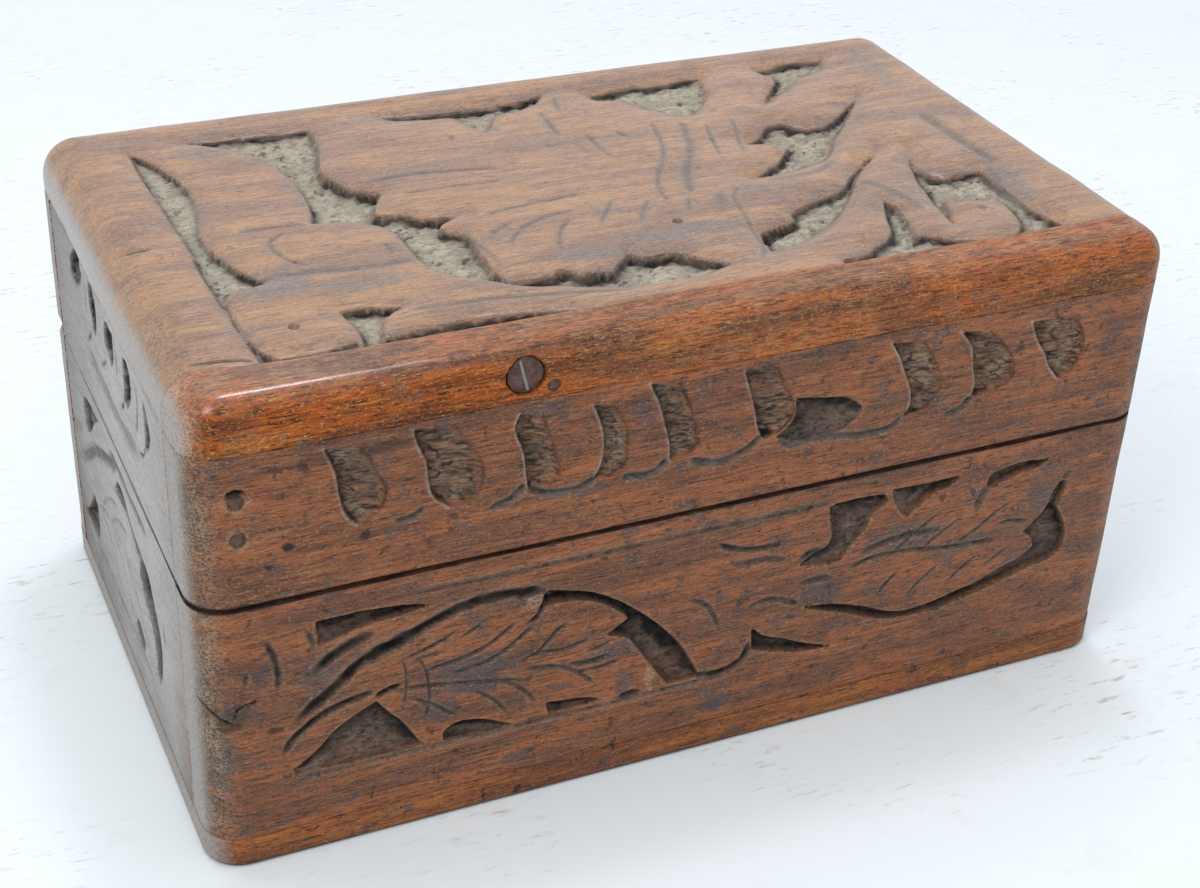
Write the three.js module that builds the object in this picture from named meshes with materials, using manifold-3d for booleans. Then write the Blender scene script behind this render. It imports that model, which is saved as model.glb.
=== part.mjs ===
// A small carved hardwood box with a lift-up lid, as an assembly of boards, nails, screws and two hinges.
// Millimetres, +Z up. The box stands on z = 0, centred on the origin, with its front towards -Y.
import * as THREE from "three";
import { mergeVertices } from "three/addons/utils/BufferGeometryUtils.js";
import Module from "manifold-3d";

const wasm = await Module();
wasm.setup();

// Driving dimensions of the case
const length = 180;
const width = 108.4;
const wall = 11;
const bottomThickness = 6;
const baseHeight = 53.2;
const seamGap = 0.5;
const lidWallHeight = 27.7;
const topThickness = 9.5;
const stripWidth = 9.7;
const cornerRadius = 6.8;
const topRounding = 7.5;
const stripRounding = 4;
const bottomRounding = 2;
const jointGap = 0.1;
const arcSteps = 5;

// Depths of the carving
const groundDepth = 2.6;
const edgeGroundDepth = 2.2;
const leafDepth = 2;
const leafShallow = 0.6;
const grooveDepth = 1.1;
const notchDepth = 1.7;
const notchShallow = 0.4;
const curveSteps = 2;

// Nails and the screw of the strip
const nailShank = 0.7;
const nailHead = 1.35;
const nailHeadHeight = 0.6;
const nailLength = 24;
const nailPoint = 2.5;
const nailInset = 8;
const nailSides = 8;
const nailSet = 0.2;
const fastenerPlay = 0.1;
const baseNailHeights = [14, 33.3];
const lidNailHeights = [12.6, 19.3];
const bottomNailLength = 20;
const bottomNailEndInset = 28;
const stripScrewHead = 3.2;
const stripScrewRim = 0.5;
const stripScrewShank = 1.4;
const stripScrewLength = 19;
const stripScrewEndInset = 55;
const stripScrewTurn = 0.35;
const stripScrewRise = 4.6;
const stripNailHead = 1;
const stripNailEndInset = 59.8;
const stripNailRise = 2.1;
const screwSides = 12;
const slotWidth = 0.7;
const slotDepth = 0.6;

// Hinges
const hingeEndInset = 35;
const hingeLength = 26;
const hingeInset = 1.8;
const leafWidth = 6.4;
const leafThickness = 1;
const leafPlay = 0.2;
const knuckleRadius = 1.7;
const knuckleCount = 3;
const knucklePlay = 0.3;
const pinRadius = 0.75;
const pinPlay = 0.08;
const stopAngle = 102;
const hingeScrewSpacing = 15;
const hingeScrewHead = 2;
const hingeScrewShank = 1.1;
const hingeScrewLength = 8;

// Places that follow from them
const lidBottom = baseHeight + seamGap;
const topUnderside = lidBottom + lidWallHeight;
const topBottom = topUnderside + jointGap;
const height = topBottom + topThickness;
const stripJoint = -width / 2 + stripWidth;
const hingeY = width / 2 - hingeInset;
const hingeZ = baseHeight + seamGap / 2;
const hingeX = length / 2 - hingeEndInset;
const leafEndY = hingeY - knuckleRadius - leafWidth;
const hingeScrewY = leafEndY + leafWidth / 2;

// Solids from three.js geometry

function solid(geometry) {
  geometry.deleteAttribute("normal");
  geometry.deleteAttribute("uv");
  const merged = mergeVertices(geometry, 1e-4);
  return new wasm.Manifold(
    new wasm.Mesh({
      numProp: 3,
      vertProperties: new Float32Array(merged.attributes.position.array),
      triVerts: new Uint32Array(merged.index.array),
    }),
  );
}

function block(low, high) {
  const size = high.map((value, axis) => value - low[axis]);
  const middle = high.map((value, axis) => (value + low[axis]) / 2);
  return solid(new THREE.BoxGeometry(...size).translate(...middle));
}

// A place for a turned piece: its axis starts at a point and runs in a direction.
function placed(point, direction) {
  const turn = new THREE.Quaternion().setFromUnitVectors(
    new THREE.Vector3(0, 0, 1),
    new THREE.Vector3(...direction),
  );
  return new THREE.Matrix4().compose(
    new THREE.Vector3(...point),
    turn,
    new THREE.Vector3(1, 1, 1),
  );
}

// A turned piece: its profile is a list of [radius, distance along the axis], from the axis to the axis.
function turned(profile, sides, place) {
  const points = profile.map(([radius, distance]) => new THREE.Vector2(radius, distance));
  const geometry = new THREE.LatheGeometry(points, sides).rotateX(Math.PI / 2);
  return solid(geometry.applyMatrix4(place));
}

// The hole that a turned piece is driven into: open above its head, with play all round.
function hole(profile, sides, place) {
  const walls = profile
    .slice(1)
    .map(([radius, distance]) => [radius ? radius + fastenerPlay : 0, distance + fastenerPlay]);
  const mouth = walls[0][0];
  return turned([[0, -2], [mouth, -2], ...walls], sides, place);
}

// A quarter round's inset at a depth below the face that it runs into.
function roundInset(depth, radius) {
  return depth < radius ? radius - Math.sqrt(radius ** 2 - (radius - depth) ** 2) : 0;
}

// A slab with a rounded plan. Each level gives its height, and how far the sides and the front are drawn in.
function roundedSlab(levels) {
  const quarters = [
    [1, 1],
    [-1, 1],
    [-1, -1],
    [1, -1],
  ];
  const ringSize = quarters.length * (arcSteps + 1);
  const positions = [];
  for (const { z, sides, front } of levels) {
    quarters.forEach(([sx, sy], quarter) => {
      const edge = sy > 0 ? sides : front;
      const radius = Math.max(cornerRadius - Math.max(sides, edge), 0.3);
      for (let step = 0; step <= arcSteps; step++) {
        const angle = ((quarter + step / arcSteps) * Math.PI) / 2;
        const x = sx * (length / 2 - sides - radius) + radius * Math.cos(angle);
        const y = sy * (width / 2 - edge - radius) + radius * Math.sin(angle);
        positions.push(x, y, z);
      }
    });
  }
  const index = [];
  for (let level = 0; level + 1 < levels.length; level++) {
    for (let i = 0; i < ringSize; i++) {
      const a = level * ringSize + i;
      const b = level * ringSize + ((i + 1) % ringSize);
      index.push(a, b, b + ringSize, a, b + ringSize, a + ringSize);
    }
  }
  const last = (levels.length - 1) * ringSize;
  for (let i = 1; i + 1 < ringSize; i++) {
    index.push(0, i + 1, i, last, last + i, last + i + 1);
  }
  const geometry = new THREE.BufferGeometry();
  geometry.setAttribute("position", new THREE.Float32BufferAttribute(positions, 3));
  geometry.setIndex(index);
  return solid(geometry);
}

// Depths below a face at which a quarter round has its levels.
function roundDepths(radius) {
  return Array.from({ length: arcSteps + 1 }, (_, step) => {
    const angle = ((step / arcSteps) * Math.PI) / 2;
    return radius * (1 - Math.sin(angle));
  });
}

// Carving. Outlines are drawn on each face as it is seen from outside, u to the right. On the walls v is
// the height above the table, and on the top it runs to the back. The drawing is stretched to the boards.
// A run of two points is a straight cut and a longer run one smooth stroke.

const drawing = {
  length: 180,
  width: 108.4,
  baseHeight: 53.2,
  lidBottom: 53.7,
  lidWallHeight: 27.7,
  topMiddle: [-0.7, -1.3],
};
const stretchX = length / drawing.length;
const stretchY = width / drawing.width;
const stretchBase = baseHeight / drawing.baseHeight;
const stretchLid = lidWallHeight / drawing.lidWallHeight;

const baseZ = (v) => v * stretchBase;
const lidZ = (v) => lidBottom + (v - drawing.lidBottom) * stretchLid;
const panels = {
  front: (z) => (u, v, h) => [u * stretchX, -width / 2 - h, z(v)],
  back: (z) => (u, v, h) => [-u * stretchX, width / 2 + h, z(v)],
  left: (z) => (u, v, h) => [-length / 2 - h, -u * stretchY, z(v)],
  right: (z) => (u, v, h) => [length / 2 + h, u * stretchY, z(v)],
};

function topFace(u, v, h) {
  const [middleU, middleV] = drawing.topMiddle;
  return [(u + middleU) * stretchX, (v + middleV) * stretchY, height + h];
}

function outlineShape(runs) {
  const shape = new THREE.Shape();
  shape.moveTo(...runs[0][0]);
  for (const run of runs) {
    const rest = run.slice(1).map(([u, v]) => new THREE.Vector2(u, v));
    if (rest.length === 1) {
      shape.lineTo(rest[0].x, rest[0].y);
    } else {
      shape.splineThru(rest);
    }
  }
  const points = shape.getPoints(curveSteps);
  return new THREE.Shape(points.filter((point, i) => point.distanceTo(points.at(i - 1)) > 0.05));
}

// A cut with upright walls, whose floor can slope from its deep side to a shallow one.
function cutter(face, { runs, deep, shallow = deep, from = [0, 0], to = [1, 1] }) {
  const above = 3;
  const geometry = new THREE.ExtrudeGeometry(outlineShape(runs), { depth: 1, bevelEnabled: false });
  const position = geometry.attributes.position;
  const slope = new THREE.Vector2(to[0] - from[0], to[1] - from[1]);
  for (let i = 0; i < position.count; i++) {
    const point = new THREE.Vector2(position.getX(i), position.getY(i));
    const reach = point.clone().sub(new THREE.Vector2(...from)).dot(slope) / slope.lengthSq();
    const depth = THREE.MathUtils.lerp(deep, shallow, THREE.MathUtils.clamp(reach, 0, 1));
    const h = position.getZ(i) > 0.5 ? above : -depth;
    position.setXYZ(i, ...face(point.x, point.y, h));
  }
  return solid(geometry);
}

function carved(board, face, cuts) {
  return cuts.reduce((wood, one) => wood.subtract(cutter(face, one)), board);
}

// The sunk ground of the top: two birds face outwards on either side of a toothed leaf.
const ground = { deep: groundDepth };
const edgeGround = { deep: edgeGroundDepth };
const topCuts = [
  {
    ...ground, // along the left border, behind the left bird's head and back
    runs: [
      [[-75, 41], [-75.2, 30], [-74.5, 0], [-74.8, -12], [-74.3, -30], [-73.5, -46.5]],
      [[-73.5, -46.5], [-69.5, -46.5]],
      [[-69.5, -46.5], [-71.2, -41], [-72.6, -37], [-73.3, -30], [-72.2, -18.3]],
      [[-72.2, -18.3], [-65.2, -17.2]],
      [[-65.2, -17.2], [-69.3, -8.5], [-70.7, 1], [-69, 12], [-68, 20], [-71.8, 35.5], [-75, 41]],
    ],
  },
  {
    ...ground, // between the left bird and the leaf, with the leaf's teeth
    runs: [
      [[-66, 42.5], [-60, 41.7], [-50, 41.2], [-40.3, 41.5]],
      [[-40.3, 41.5], [-41, 33], [-43.2, 26], [-43.2, 17.5]],
      [[-43.2, 17.5], [-41, 13], [-36.8, 10]],
      [[-36.8, 10], [-39.8, 5.2], [-40.8, 1.6]],
      [[-40.8, 1.6], [-35.5, 0.4], [-32.5, -2.5], [-26.8, -3.7]],
      [[-26.8, -3.7], [-30.5, -6], [-31, -8.3]],
      [[-31, -8.3], [-28, -12], [-28.6, -18], [-28.2, -29.6]],
      [[-28.2, -29.6], [-20.5, -30.2], [-19, -28.3]],
      [[-19, -28.3], [-15.5, -31.5], [-10.5, -31.8]],
      [[-10.5, -31.8], [-8.5, -29.5], [-5, -26.5]],
      [[-5, -26.5], [-3, -29], [2.5, -29.3], [10.5, -36]],
      [[10.5, -36], [2, -38.4], [-5, -38.7], [-14, -36.7], [-24, -32.8], [-31, -29], [-38.5, -21.5]],
      [[-38.5, -21.5], [-39.8, -14], [-40, -6], [-43, -1.5], [-52.4, 1.9]],
      [[-52.4, 1.9], [-50.3, 10], [-50.6, 22], [-54, 33], [-60, 39], [-66, 42.5]],
    ],
  },
  {
    ...edgeGround, // between the left bird's beak and the long leaf
    runs: [
      [[-57.5, -30], [-53, -30.2], [-46.8, -32]],
      [[-46.8, -32], [-51, -35], [-52.8, -39.5], [-53.3, -46.5]],
      [[-53.3, -46.5], [-58.4, -46.5]],
      [[-58.4, -46.5], [-57, -40], [-56.7, -35], [-57.5, -30]],
    ],
  },
  {
    ...edgeGround, // under the left bird's beak
    runs: [
      [[-70.2, -41.9], [-64, -41.8], [-57.6, -40]],
      [[-57.6, -40], [-57.8, -46.5]],
      [[-57.8, -46.5], [-70.2, -46.5]],
      [[-70.2, -46.5], [-70.2, -41.9]],
    ],
  },
  {
    ...edgeGround, // under the long leaf
    runs: [
      [[-54, -41.2], [-47, -39.9], [-41, -39.3], [-34, -39.9], [-27, -41], [-19.5, -43.4]],
      [[-19.5, -43.4], [-24, -46.5]],
      [[-24, -46.5], [-54, -46.5]],
      [[-54, -46.5], [-54, -41.2]],
    ],
  },
  {
    ...ground, // under the leaf's stem, from the deep pocket to the right
    runs: [
      [[18.2, -34], [19.5, -30], [20.5, -26]],
      [[20.5, -26], [28.8, -23.2]],
      [[28.8, -23.2], [29.3, -20.8]],
      [[29.3, -20.8], [33, -19], [43, -15], [50, -8], [60, 0.5]],
      [[60, 0.5], [53, -7.5], [46, -15], [38, -24.5], [30, -30], [18.2, -34]],
    ],
  },
  {
    ...ground, // between the stems on the right
    runs: [
      [[29.5, -5.3], [34, -2.8], [38, 0.3], [42.7, 5.3]],
      [[42.7, 5.3], [40, 8], [35.5, 9.2]],
      [[35.5, 9.2], [40, 12], [43.5, 15.3], [47, 16]],
      [[47, 16], [50, 12.8], [53.5, 12]],
      [[53.5, 12], [58, 14.5], [63, 18.5], [70, 24.5]],
      [[70, 24.5], [62, 14.5], [54, 6], [51, 1.5], [46, -3.2], [38, -5], [29.5, -5.3]],
    ],
  },
  {
    ...ground, // behind the leaf, along the back border
    runs: [
      [[-26.5, 42.6], [-20, 42], [-10, 41.8], [0, 42.2], [8.5, 43.3]],
      [[8.5, 43.3], [3, 38.8], [-2, 37.6], [-9.5, 30]],
      [[-9.5, 30], [-12.8, 38], [-20, 39], [-26.5, 42.6]],
    ],
  },
  {
    ...ground,
    runs: [
      [[16.5, 41], [22, 41.6], [27, 42], [33, 41.5], [43, 43]],
      [[43, 43], [41.5, 37], [38.5, 31], [33, 25.5]],
      [[33, 25.5], [26, 29.5], [24.5, 34], [16.5, 41]],
    ],
  },
  {
    ...ground,
    runs: [
      [[55, 42.6], [62, 43.8], [72, 43.3]],
      [[72, 43.3], [68.5, 38.5], [61, 34.5], [57, 31], [48, 25]],
      [[48, 25], [54, 33], [56.3, 38], [55, 42.6]],
    ],
  },
  {
    ...edgeGround, // in front, between the long leaf and the right bird
    runs: [
      [[27.5, -46.5], [28.5, -40.8], [33, -40], [40, -36.3]],
      [[40, -36.3], [42.8, -33], [44.5, -28.5], [47.5, -22.3]],
      [[47.5, -22.3], [48.6, -26], [47.6, -31], [46, -36.8]],
      [[46, -36.8], [51.5, -40], [60, -43.2]],
      [[60, -43.2], [60, -46.5]],
      [[60, -46.5], [27.5, -46.5]],
    ],
  },
  {
    ...ground, // round the right bird's head
    runs: [
      [[65, -2.5], [61.5, -8.5], [58.8, -15], [55.3, -29], [54.6, -36.5]],
      [[54.6, -36.5], [56.8, -31], [60.5, -24.8]],
      [[60.5, -24.8], [65, -27.3], [68, -29], [67.6, -35], [64.5, -40.5], [60.5, -46.5]],
      [[60.5, -46.5], [71.5, -46.5]],
      [[71.5, -46.5], [72, -38], [72, -28], [72.2, -16.3]],
      [[72.2, -16.3], [64, -17]],
      [[64, -17], [61.8, -14], [62.3, -9], [65, -2.5]],
    ],
  },
];

// The row of gouged notches round the lid. Each has an upright cut on its left and rises to the right.
function notch(left, right, slope) {
  const deepEnd = left[Math.floor(left.length / 2)];
  return {
    deep: notchDepth,
    shallow: notchShallow,
    from: deepEnd,
    to: [deepEnd[0] + slope, deepEnd[1]],
    runs: [left, [left.at(-1), right[0]], right, [right.at(-1), left[0]]],
  };
}

const longLidCuts = [
  notch([[-68.2, 79.8], [-66.5, 75], [-65.7, 70], [-63.3, 64.8]], [[-59, 65.5], [-59, 72], [-63, 79.6]], 8),
  notch([[-53.8, 80.3], [-51.8, 74], [-51, 68], [-48, 64.5]], [[-42.5, 65.5], [-42.8, 72], [-46.5, 79]], 9),
  notch([[-37.8, 78.5], [-35.3, 72], [-34.8, 68], [-34.3, 64.5]], [[-27.5, 65.5], [-30, 72], [-32, 79]], 7),
  notch([[-23.5, 78.8], [-21.6, 73], [-21.3, 68], [-23, 64.3]], [[-17.6, 64.8], [-17, 71], [-19.5, 78]], 5),
  notch([[-13.5, 80.3], [-10.8, 74], [-9.5, 69], [-9, 64.5]], [[-4, 64.8], [-5, 73], [-8, 79.5]], 6),
  notch([[3.8, 79.5], [5.8, 74], [7.2, 68.5], [8.5, 65]], [[14, 66.5], [13, 73], [10, 79.3]], 7),
  notch([[16, 76], [14.6, 70], [11, 66.5], [14.5, 63]], [[25, 63.5], [27, 68], [21.5, 71.5]], 14),
  notch([[31.8, 79.3], [35, 74], [37, 69], [36.2, 64]], [[41, 64.8], [43, 70], [39.8, 77.8]], 6),
  notch([[46, 79], [49, 74.5], [50.3, 69], [50, 65]], [[56.5, 65], [58.5, 69.5], [52, 78]], 8),
  notch([[60.5, 78.4], [63, 73], [66, 68], [68.5, 65]], [[72.5, 66], [72.7, 73], [67, 78]], 8),
];
const shortLidCuts = [
  notch([[-27, 75], [-25.3, 79], [-20.7, 82]], [[-18.3, 80], [-19, 76], [-23, 73]], 8),
  notch([[-10.8, 80.4], [-9.3, 76], [-10.6, 71]], [[-8.8, 71.4], [-6.8, 75.5], [-7.2, 80.6]], 4),
  notch([[1, 74], [2, 77.8], [4.3, 80.3]], [[7.7, 79.5], [8, 76], [2.6, 71.9]], 7),
  notch([[14.3, 79.4], [15, 74], [13.4, 68]], [[18, 71.5], [20.4, 76], [18.2, 80]], 6),
  notch([[29.5, 79.2], [30.3, 74], [28.5, 68.5]], [[31.3, 70.7], [33.2, 74.5], [31.3, 78]], 4),
];

// The leaves on the base. The deep side of each cut is the one under the leaf's edge.
const longBaseCuts = [
  {
    deep: leafDepth, // the wedge above the left leaf
    shallow: leafShallow,
    from: [-60, 47.5],
    to: [-60, 43],
    runs: [
      [[-70.5, 47.8], [-62, 47.8], [-51, 46]],
      [[-51, 46], [-58, 44.8], [-66, 43.3], [-70.2, 41.5]],
      [[-70.2, 41.5], [-70.5, 47.8]],
    ],
  },
  {
    deep: grooveDepth, // the line over the left leaf's back
    runs: [
      [[-76, 24.5], [-68, 32.6], [-62, 37.8], [-50, 42.9], [-40, 44.6], [-31, 43.4]],
      [[-31, 43.4], [-40, 43.6], [-50, 41.4], [-60, 36.6], [-68, 31.6], [-76, 24.5]],
    ],
  },
  {
    deep: leafDepth, // the sunk triangle at the left leaf's foot
    shallow: leafShallow,
    from: [-64, 26],
    to: [-64, 17],
    runs: [
      [[-75.3, 18.3], [-70, 22.5], [-65.5, 26.4], [-60.5, 28.8]],
      [[-60.5, 28.8], [-57.5, 24.5], [-53, 17]],
      [[-53, 17], [-75.3, 17]],
      [[-75.3, 17], [-75.3, 18.3]],
    ],
  },
  {
    deep: leafDepth, // the crescent round the left leaf's end
    runs: [
      [[-30.2, 43.5], [-22, 41], [-14, 35.8], [-7, 29], [-2.8, 23], [0, 16.8]],
      [[0, 16.8], [-7, 16.8]],
      [[-7, 16.8], [-9.5, 22], [-14.5, 28.8], [-19, 31]],
      [[-19, 31], [-14.8, 34]],
      [[-14.8, 34], [-21, 38.6], [-30, 40.8]],
      [[-30, 40.8], [-30.2, 43.5]],
    ],
  },
  {
    deep: leafDepth, // small wedges under the left leaf
    shallow: leafShallow,
    from: [-42, 20],
    to: [-42, 16.5],
    runs: [
      [[-48.9, 16.8], [-48.3, 18.8], [-45, 20], [-40, 18.6], [-35, 16.4]],
      [[-35, 16.4], [-48.9, 16.8]],
    ],
  },
  {
    deep: leafDepth,
    shallow: leafShallow,
    from: [-25, 19.2],
    to: [-25, 16.5],
    runs: [
      [[-29.8, 19.4], [-24, 18.8], [-18.7, 17]],
      [[-18.7, 17], [-29.3, 16.7]],
      [[-29.3, 16.7], [-29.8, 19.4]],
    ],
  },
  {
    deep: leafDepth, // the wedge beside the stem
    runs: [
      [[10, 25.2], [12.5, 22.5], [19, 19.6], [28, 16]],
      [[28, 16], [18, 17.3], [10.6, 19.8]],
      [[10.6, 19.8], [10, 25.2]],
    ],
  },
  {
    deep: grooveDepth, // the forked recess before the right leaf
    runs: [
      [[24.3, 48.4], [35.8, 48]],
      [[35.8, 48], [35, 45], [31.5, 41], [27.5, 35.5]],
      [[27.5, 35.5], [18.5, 36]],
      [[18.5, 36], [23.5, 39.5], [25, 43], [24.3, 48.4]],
    ],
  },
  {
    deep: leafDepth, // wedges above the right leaf
    shallow: leafShallow,
    from: [44, 48],
    to: [41, 42],
    runs: [
      [[36.4, 48.6], [44, 48.3], [50, 48.3]],
      [[50, 48.3], [45, 45.6], [40.6, 41.6]],
      [[40.6, 41.6], [37.2, 45], [36.4, 48.6]],
    ],
  },
  {
    deep: leafDepth,
    shallow: leafShallow,
    from: [63, 48],
    to: [62, 44],
    runs: [
      [[57.3, 47.2], [62, 48], [70, 47.8]],
      [[70, 47.8], [63, 45.8], [57, 44.3]],
      [[57, 44.3], [57.3, 47.2]],
    ],
  },
  {
    deep: leafDepth, // the groove under the right leaf, widening to its end
    runs: [
      [[20.5, 26.3], [30, 22.7], [38, 19.5], [48, 18.8], [60, 20.6], [69, 23.6]],
      [[69, 23.6], [74, 24], [76.8, 29], [73.8, 36.5]],
      [[73.8, 36.5], [75.6, 40], [74.6, 42.4]],
      [[74.6, 42.4], [72, 40.5], [71.8, 36.4]],
      [[71.8, 36.4], [69, 34], [66.6, 32.2]],
      [[66.6, 32.2], [69.8, 28.6]],
      [[69.8, 28.6], [64, 24.6], [54, 22], [46, 20], [38, 20.9], [30, 24.4], [20.5, 26.3]],
    ],
  },
];
const shortBaseCuts = [
  {
    deep: leafDepth, // the wedge above the leaf
    shallow: leafShallow,
    from: [-24, 49],
    to: [-24, 43],
    runs: [
      [[-29, 48.4], [-24, 49], [-17, 49.5]],
      [[-17, 49.5], [-20.5, 46.4], [-26, 42.5]],
      [[-26, 42.5], [-29, 45], [-29, 48.4]],
    ],
  },
  {
    deep: leafDepth, // the sunk triangle at the leaf's foot
    shallow: leafShallow,
    from: [-30, 24],
    to: [-30, 16],
    runs: [
      [[-39.5, 15.6], [-34, 21], [-26.5, 26.5]],
      [[-26.5, 26.5], [-26.2, 20], [-28, 15.5]],
      [[-28, 15.5], [-39.5, 15.6]],
    ],
  },
  {
    deep: leafDepth, // the crescent round the leaf's end
    runs: [
      [[-3.5, 42], [0.5, 44.6], [8, 42.2], [18, 39.2], [24.4, 34], [26, 28], [23, 17]],
      [[23, 17], [20.5, 17]],
      [[20.5, 17], [22.4, 22], [18, 29.5], [10.8, 35]],
      [[10.8, 35], [15.5, 38]],
      [[15.5, 38], [6, 41.2], [-3.5, 42]],
    ],
  },
  {
    deep: leafDepth, // a small pocket under the leaf
    shallow: leafShallow,
    from: [8, 20],
    to: [8, 15.5],
    runs: [
      [[4.5, 17.5], [8, 20.2], [11.2, 18.6]],
      [[11.2, 18.6], [10.4, 15.8], [7, 15.4], [4.5, 17.5]],
    ],
  },
];

// The boards

// A long board of the case, with rounded outer corners. Its ends show at the sides of the box.
function longBoard(side, low, high) {
  const r = cornerRadius;
  const shape = new THREE.Shape();
  shape.moveTo(-length / 2, -width / 2 + wall);
  shape.lineTo(-length / 2, -width / 2 + r);
  shape.absarc(-length / 2 + r, -width / 2 + r, r, Math.PI, 1.5 * Math.PI, false);
  shape.absarc(length / 2 - r, -width / 2 + r, r, 1.5 * Math.PI, 2 * Math.PI, false);
  shape.lineTo(length / 2, -width / 2 + wall);
  const extent = { depth: high - low, bevelEnabled: false, curveSegments: arcSteps };
  const geometry = new THREE.ExtrudeGeometry(shape, extent).translate(0, 0, low);
  return solid(geometry.rotateZ(side > 0 ? Math.PI : 0));
}

// An end board, between the two long ones.
function endBoard(side, low, high) {
  const reach = width / 2 - wall - jointGap;
  const outer = (side * length) / 2;
  const inner = outer - side * wall;
  return block([Math.min(outer, inner), -reach, low], [Math.max(outer, inner), reach, high]);
}

// The board of the lid's top, worn round along its upper edges.
function topBoard() {
  const depths = [...roundDepths(topRounding), ...roundDepths(stripRounding).slice(1, -1)];
  depths.sort((a, b) => b - a);
  return roundedSlab([
    { z: topBottom, sides: 0, front: 0 },
    ...depths.map((depth) => ({
      z: height - depth,
      sides: roundInset(depth, topRounding),
      front: roundInset(depth, stripRounding),
    })),
  ]);
}

function bottomBoard() {
  const rounded = roundDepths(bottomRounding)
    .reverse()
    .map((depth) => {
      const inset = roundInset(depth, bottomRounding);
      return { z: depth, sides: inset, front: inset };
    });
  return roundedSlab([...rounded, { z: bottomThickness, sides: 0, front: 0 }]);
}

// Chamfers along the back of the seam. They meet when the lid is fully open, and stop it.
function stopChamfer(upward) {
  const reach = hingeInset + 1;
  const fall = reach * Math.tan(THREE.MathUtils.degToRad(stopAngle / 2));
  const over = 5;
  const section = [
    [0, 0],
    [reach, upward * fall],
    [reach, -upward],
    [0, -upward],
  ];
  const shape = new THREE.Shape(section.map(([y, z]) => new THREE.Vector2(y, z)));
  const extent = { depth: length + 2 * over, bevelEnabled: false };
  const geometry = new THREE.ExtrudeGeometry(shape, extent).rotateX(Math.PI / 2).rotateZ(Math.PI / 2);
  return solid(geometry.translate(-length / 2 - over, hingeY, hingeZ));
}

// Nails and screws. Each is described once, and gives both the piece and the hole it is driven into.

function fastener(profile, facets, point, direction, slotAngle) {
  const place = placed(point, direction);
  let piece = turned(profile, facets, place);
  if (slotAngle !== undefined) {
    const slotLength = 2 * profile[1][0] + 1;
    const slot = new THREE.BoxGeometry(slotWidth, slotLength, 2 * slotDepth).rotateZ(slotAngle);
    piece = piece.subtract(solid(slot.applyMatrix4(place)));
  }
  return { piece, seat: hole(profile, facets, place) };
}

function nail(headRadius, long, point, direction) {
  const profile = [
    [0, 0],
    [headRadius, 0],
    [headRadius, nailHeadHeight],
    [nailShank, nailHeadHeight],
    [nailShank, long - nailPoint],
    [0, long],
  ];
  const set = point.map((value, axis) => value + nailSet * direction[axis]);
  return fastener(profile, nailSides, set, direction);
}

// The nails that hold a long board to the end boards, on the front (-1) or the back (1).
function cornerNails(side, heights) {
  const inward = [0, -side, 0];
  return [-1, 1].flatMap((end) =>
    heights.map((z, i) => {
      const corner = `${side < 0 ? "front" : "back"}_${end < 0 ? "left" : "right"}`;
      const point = [end * (length / 2 - nailInset), (side * width) / 2, z];
      return { name: `${corner}_nail_${i + 1}`, end, ...nail(nailHead, nailLength, point, inward) };
    }),
  );
}

// The nails that hold the bottom board to a long board.
function bottomNails(side) {
  return [-1, 0, 1].map((place, i) => {
    const name = `bottom_${side < 0 ? "front" : "back"}_nail_${i + 1}`;
    const point = [place * (length / 2 - bottomNailEndInset), (side * (width - wall)) / 2, 0];
    return { name, ...nail(nailHead, bottomNailLength, point, [0, 0, 1]) };
  });
}

const stripScrew = fastener(
  [
    [0, 0],
    [stripScrewHead, 0],
    [stripScrewHead, stripScrewRim],
    [stripScrewShank, stripScrewRim + stripScrewHead - stripScrewShank],
    [stripScrewShank, stripScrewLength - nailPoint],
    [0, stripScrewLength],
  ],
  screwSides,
  [-length / 2 + stripScrewEndInset, -width / 2, topUnderside + stripScrewRise],
  [0, 1, 0],
  stripScrewTurn,
);
const stripNailPlace = [-length / 2 + stripNailEndInset, -width / 2, topUnderside + stripNailRise];
const stripNail = nail(stripNailHead, stripScrewLength, stripNailPlace, [0, 1, 0]);

// Hinges. Three knuckles turn on one pin: the outer two of the lower leaf, the middle one of the upper.

function barrel(radius, from, to) {
  const profile = [
    [0, from],
    [radius, from],
    [radius, to],
    [0, to],
  ];
  return turned(profile, screwSides, placed([0, hingeY, hingeZ], [1, 0, 0]));
}

function hingeScrew(x, upward, slotAngle) {
  const profile = [
    [0, 0],
    [hingeScrewHead, 0],
    [hingeScrewShank, leafThickness],
    [hingeScrewShank, hingeScrewLength - nailPoint],
    [0, hingeScrewLength],
  ];
  const point = [x, hingeScrewY, hingeZ + (upward * leafPlay) / 2];
  return fastener(profile, screwSides, point, [0, 0, upward], slotAngle);
}

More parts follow.
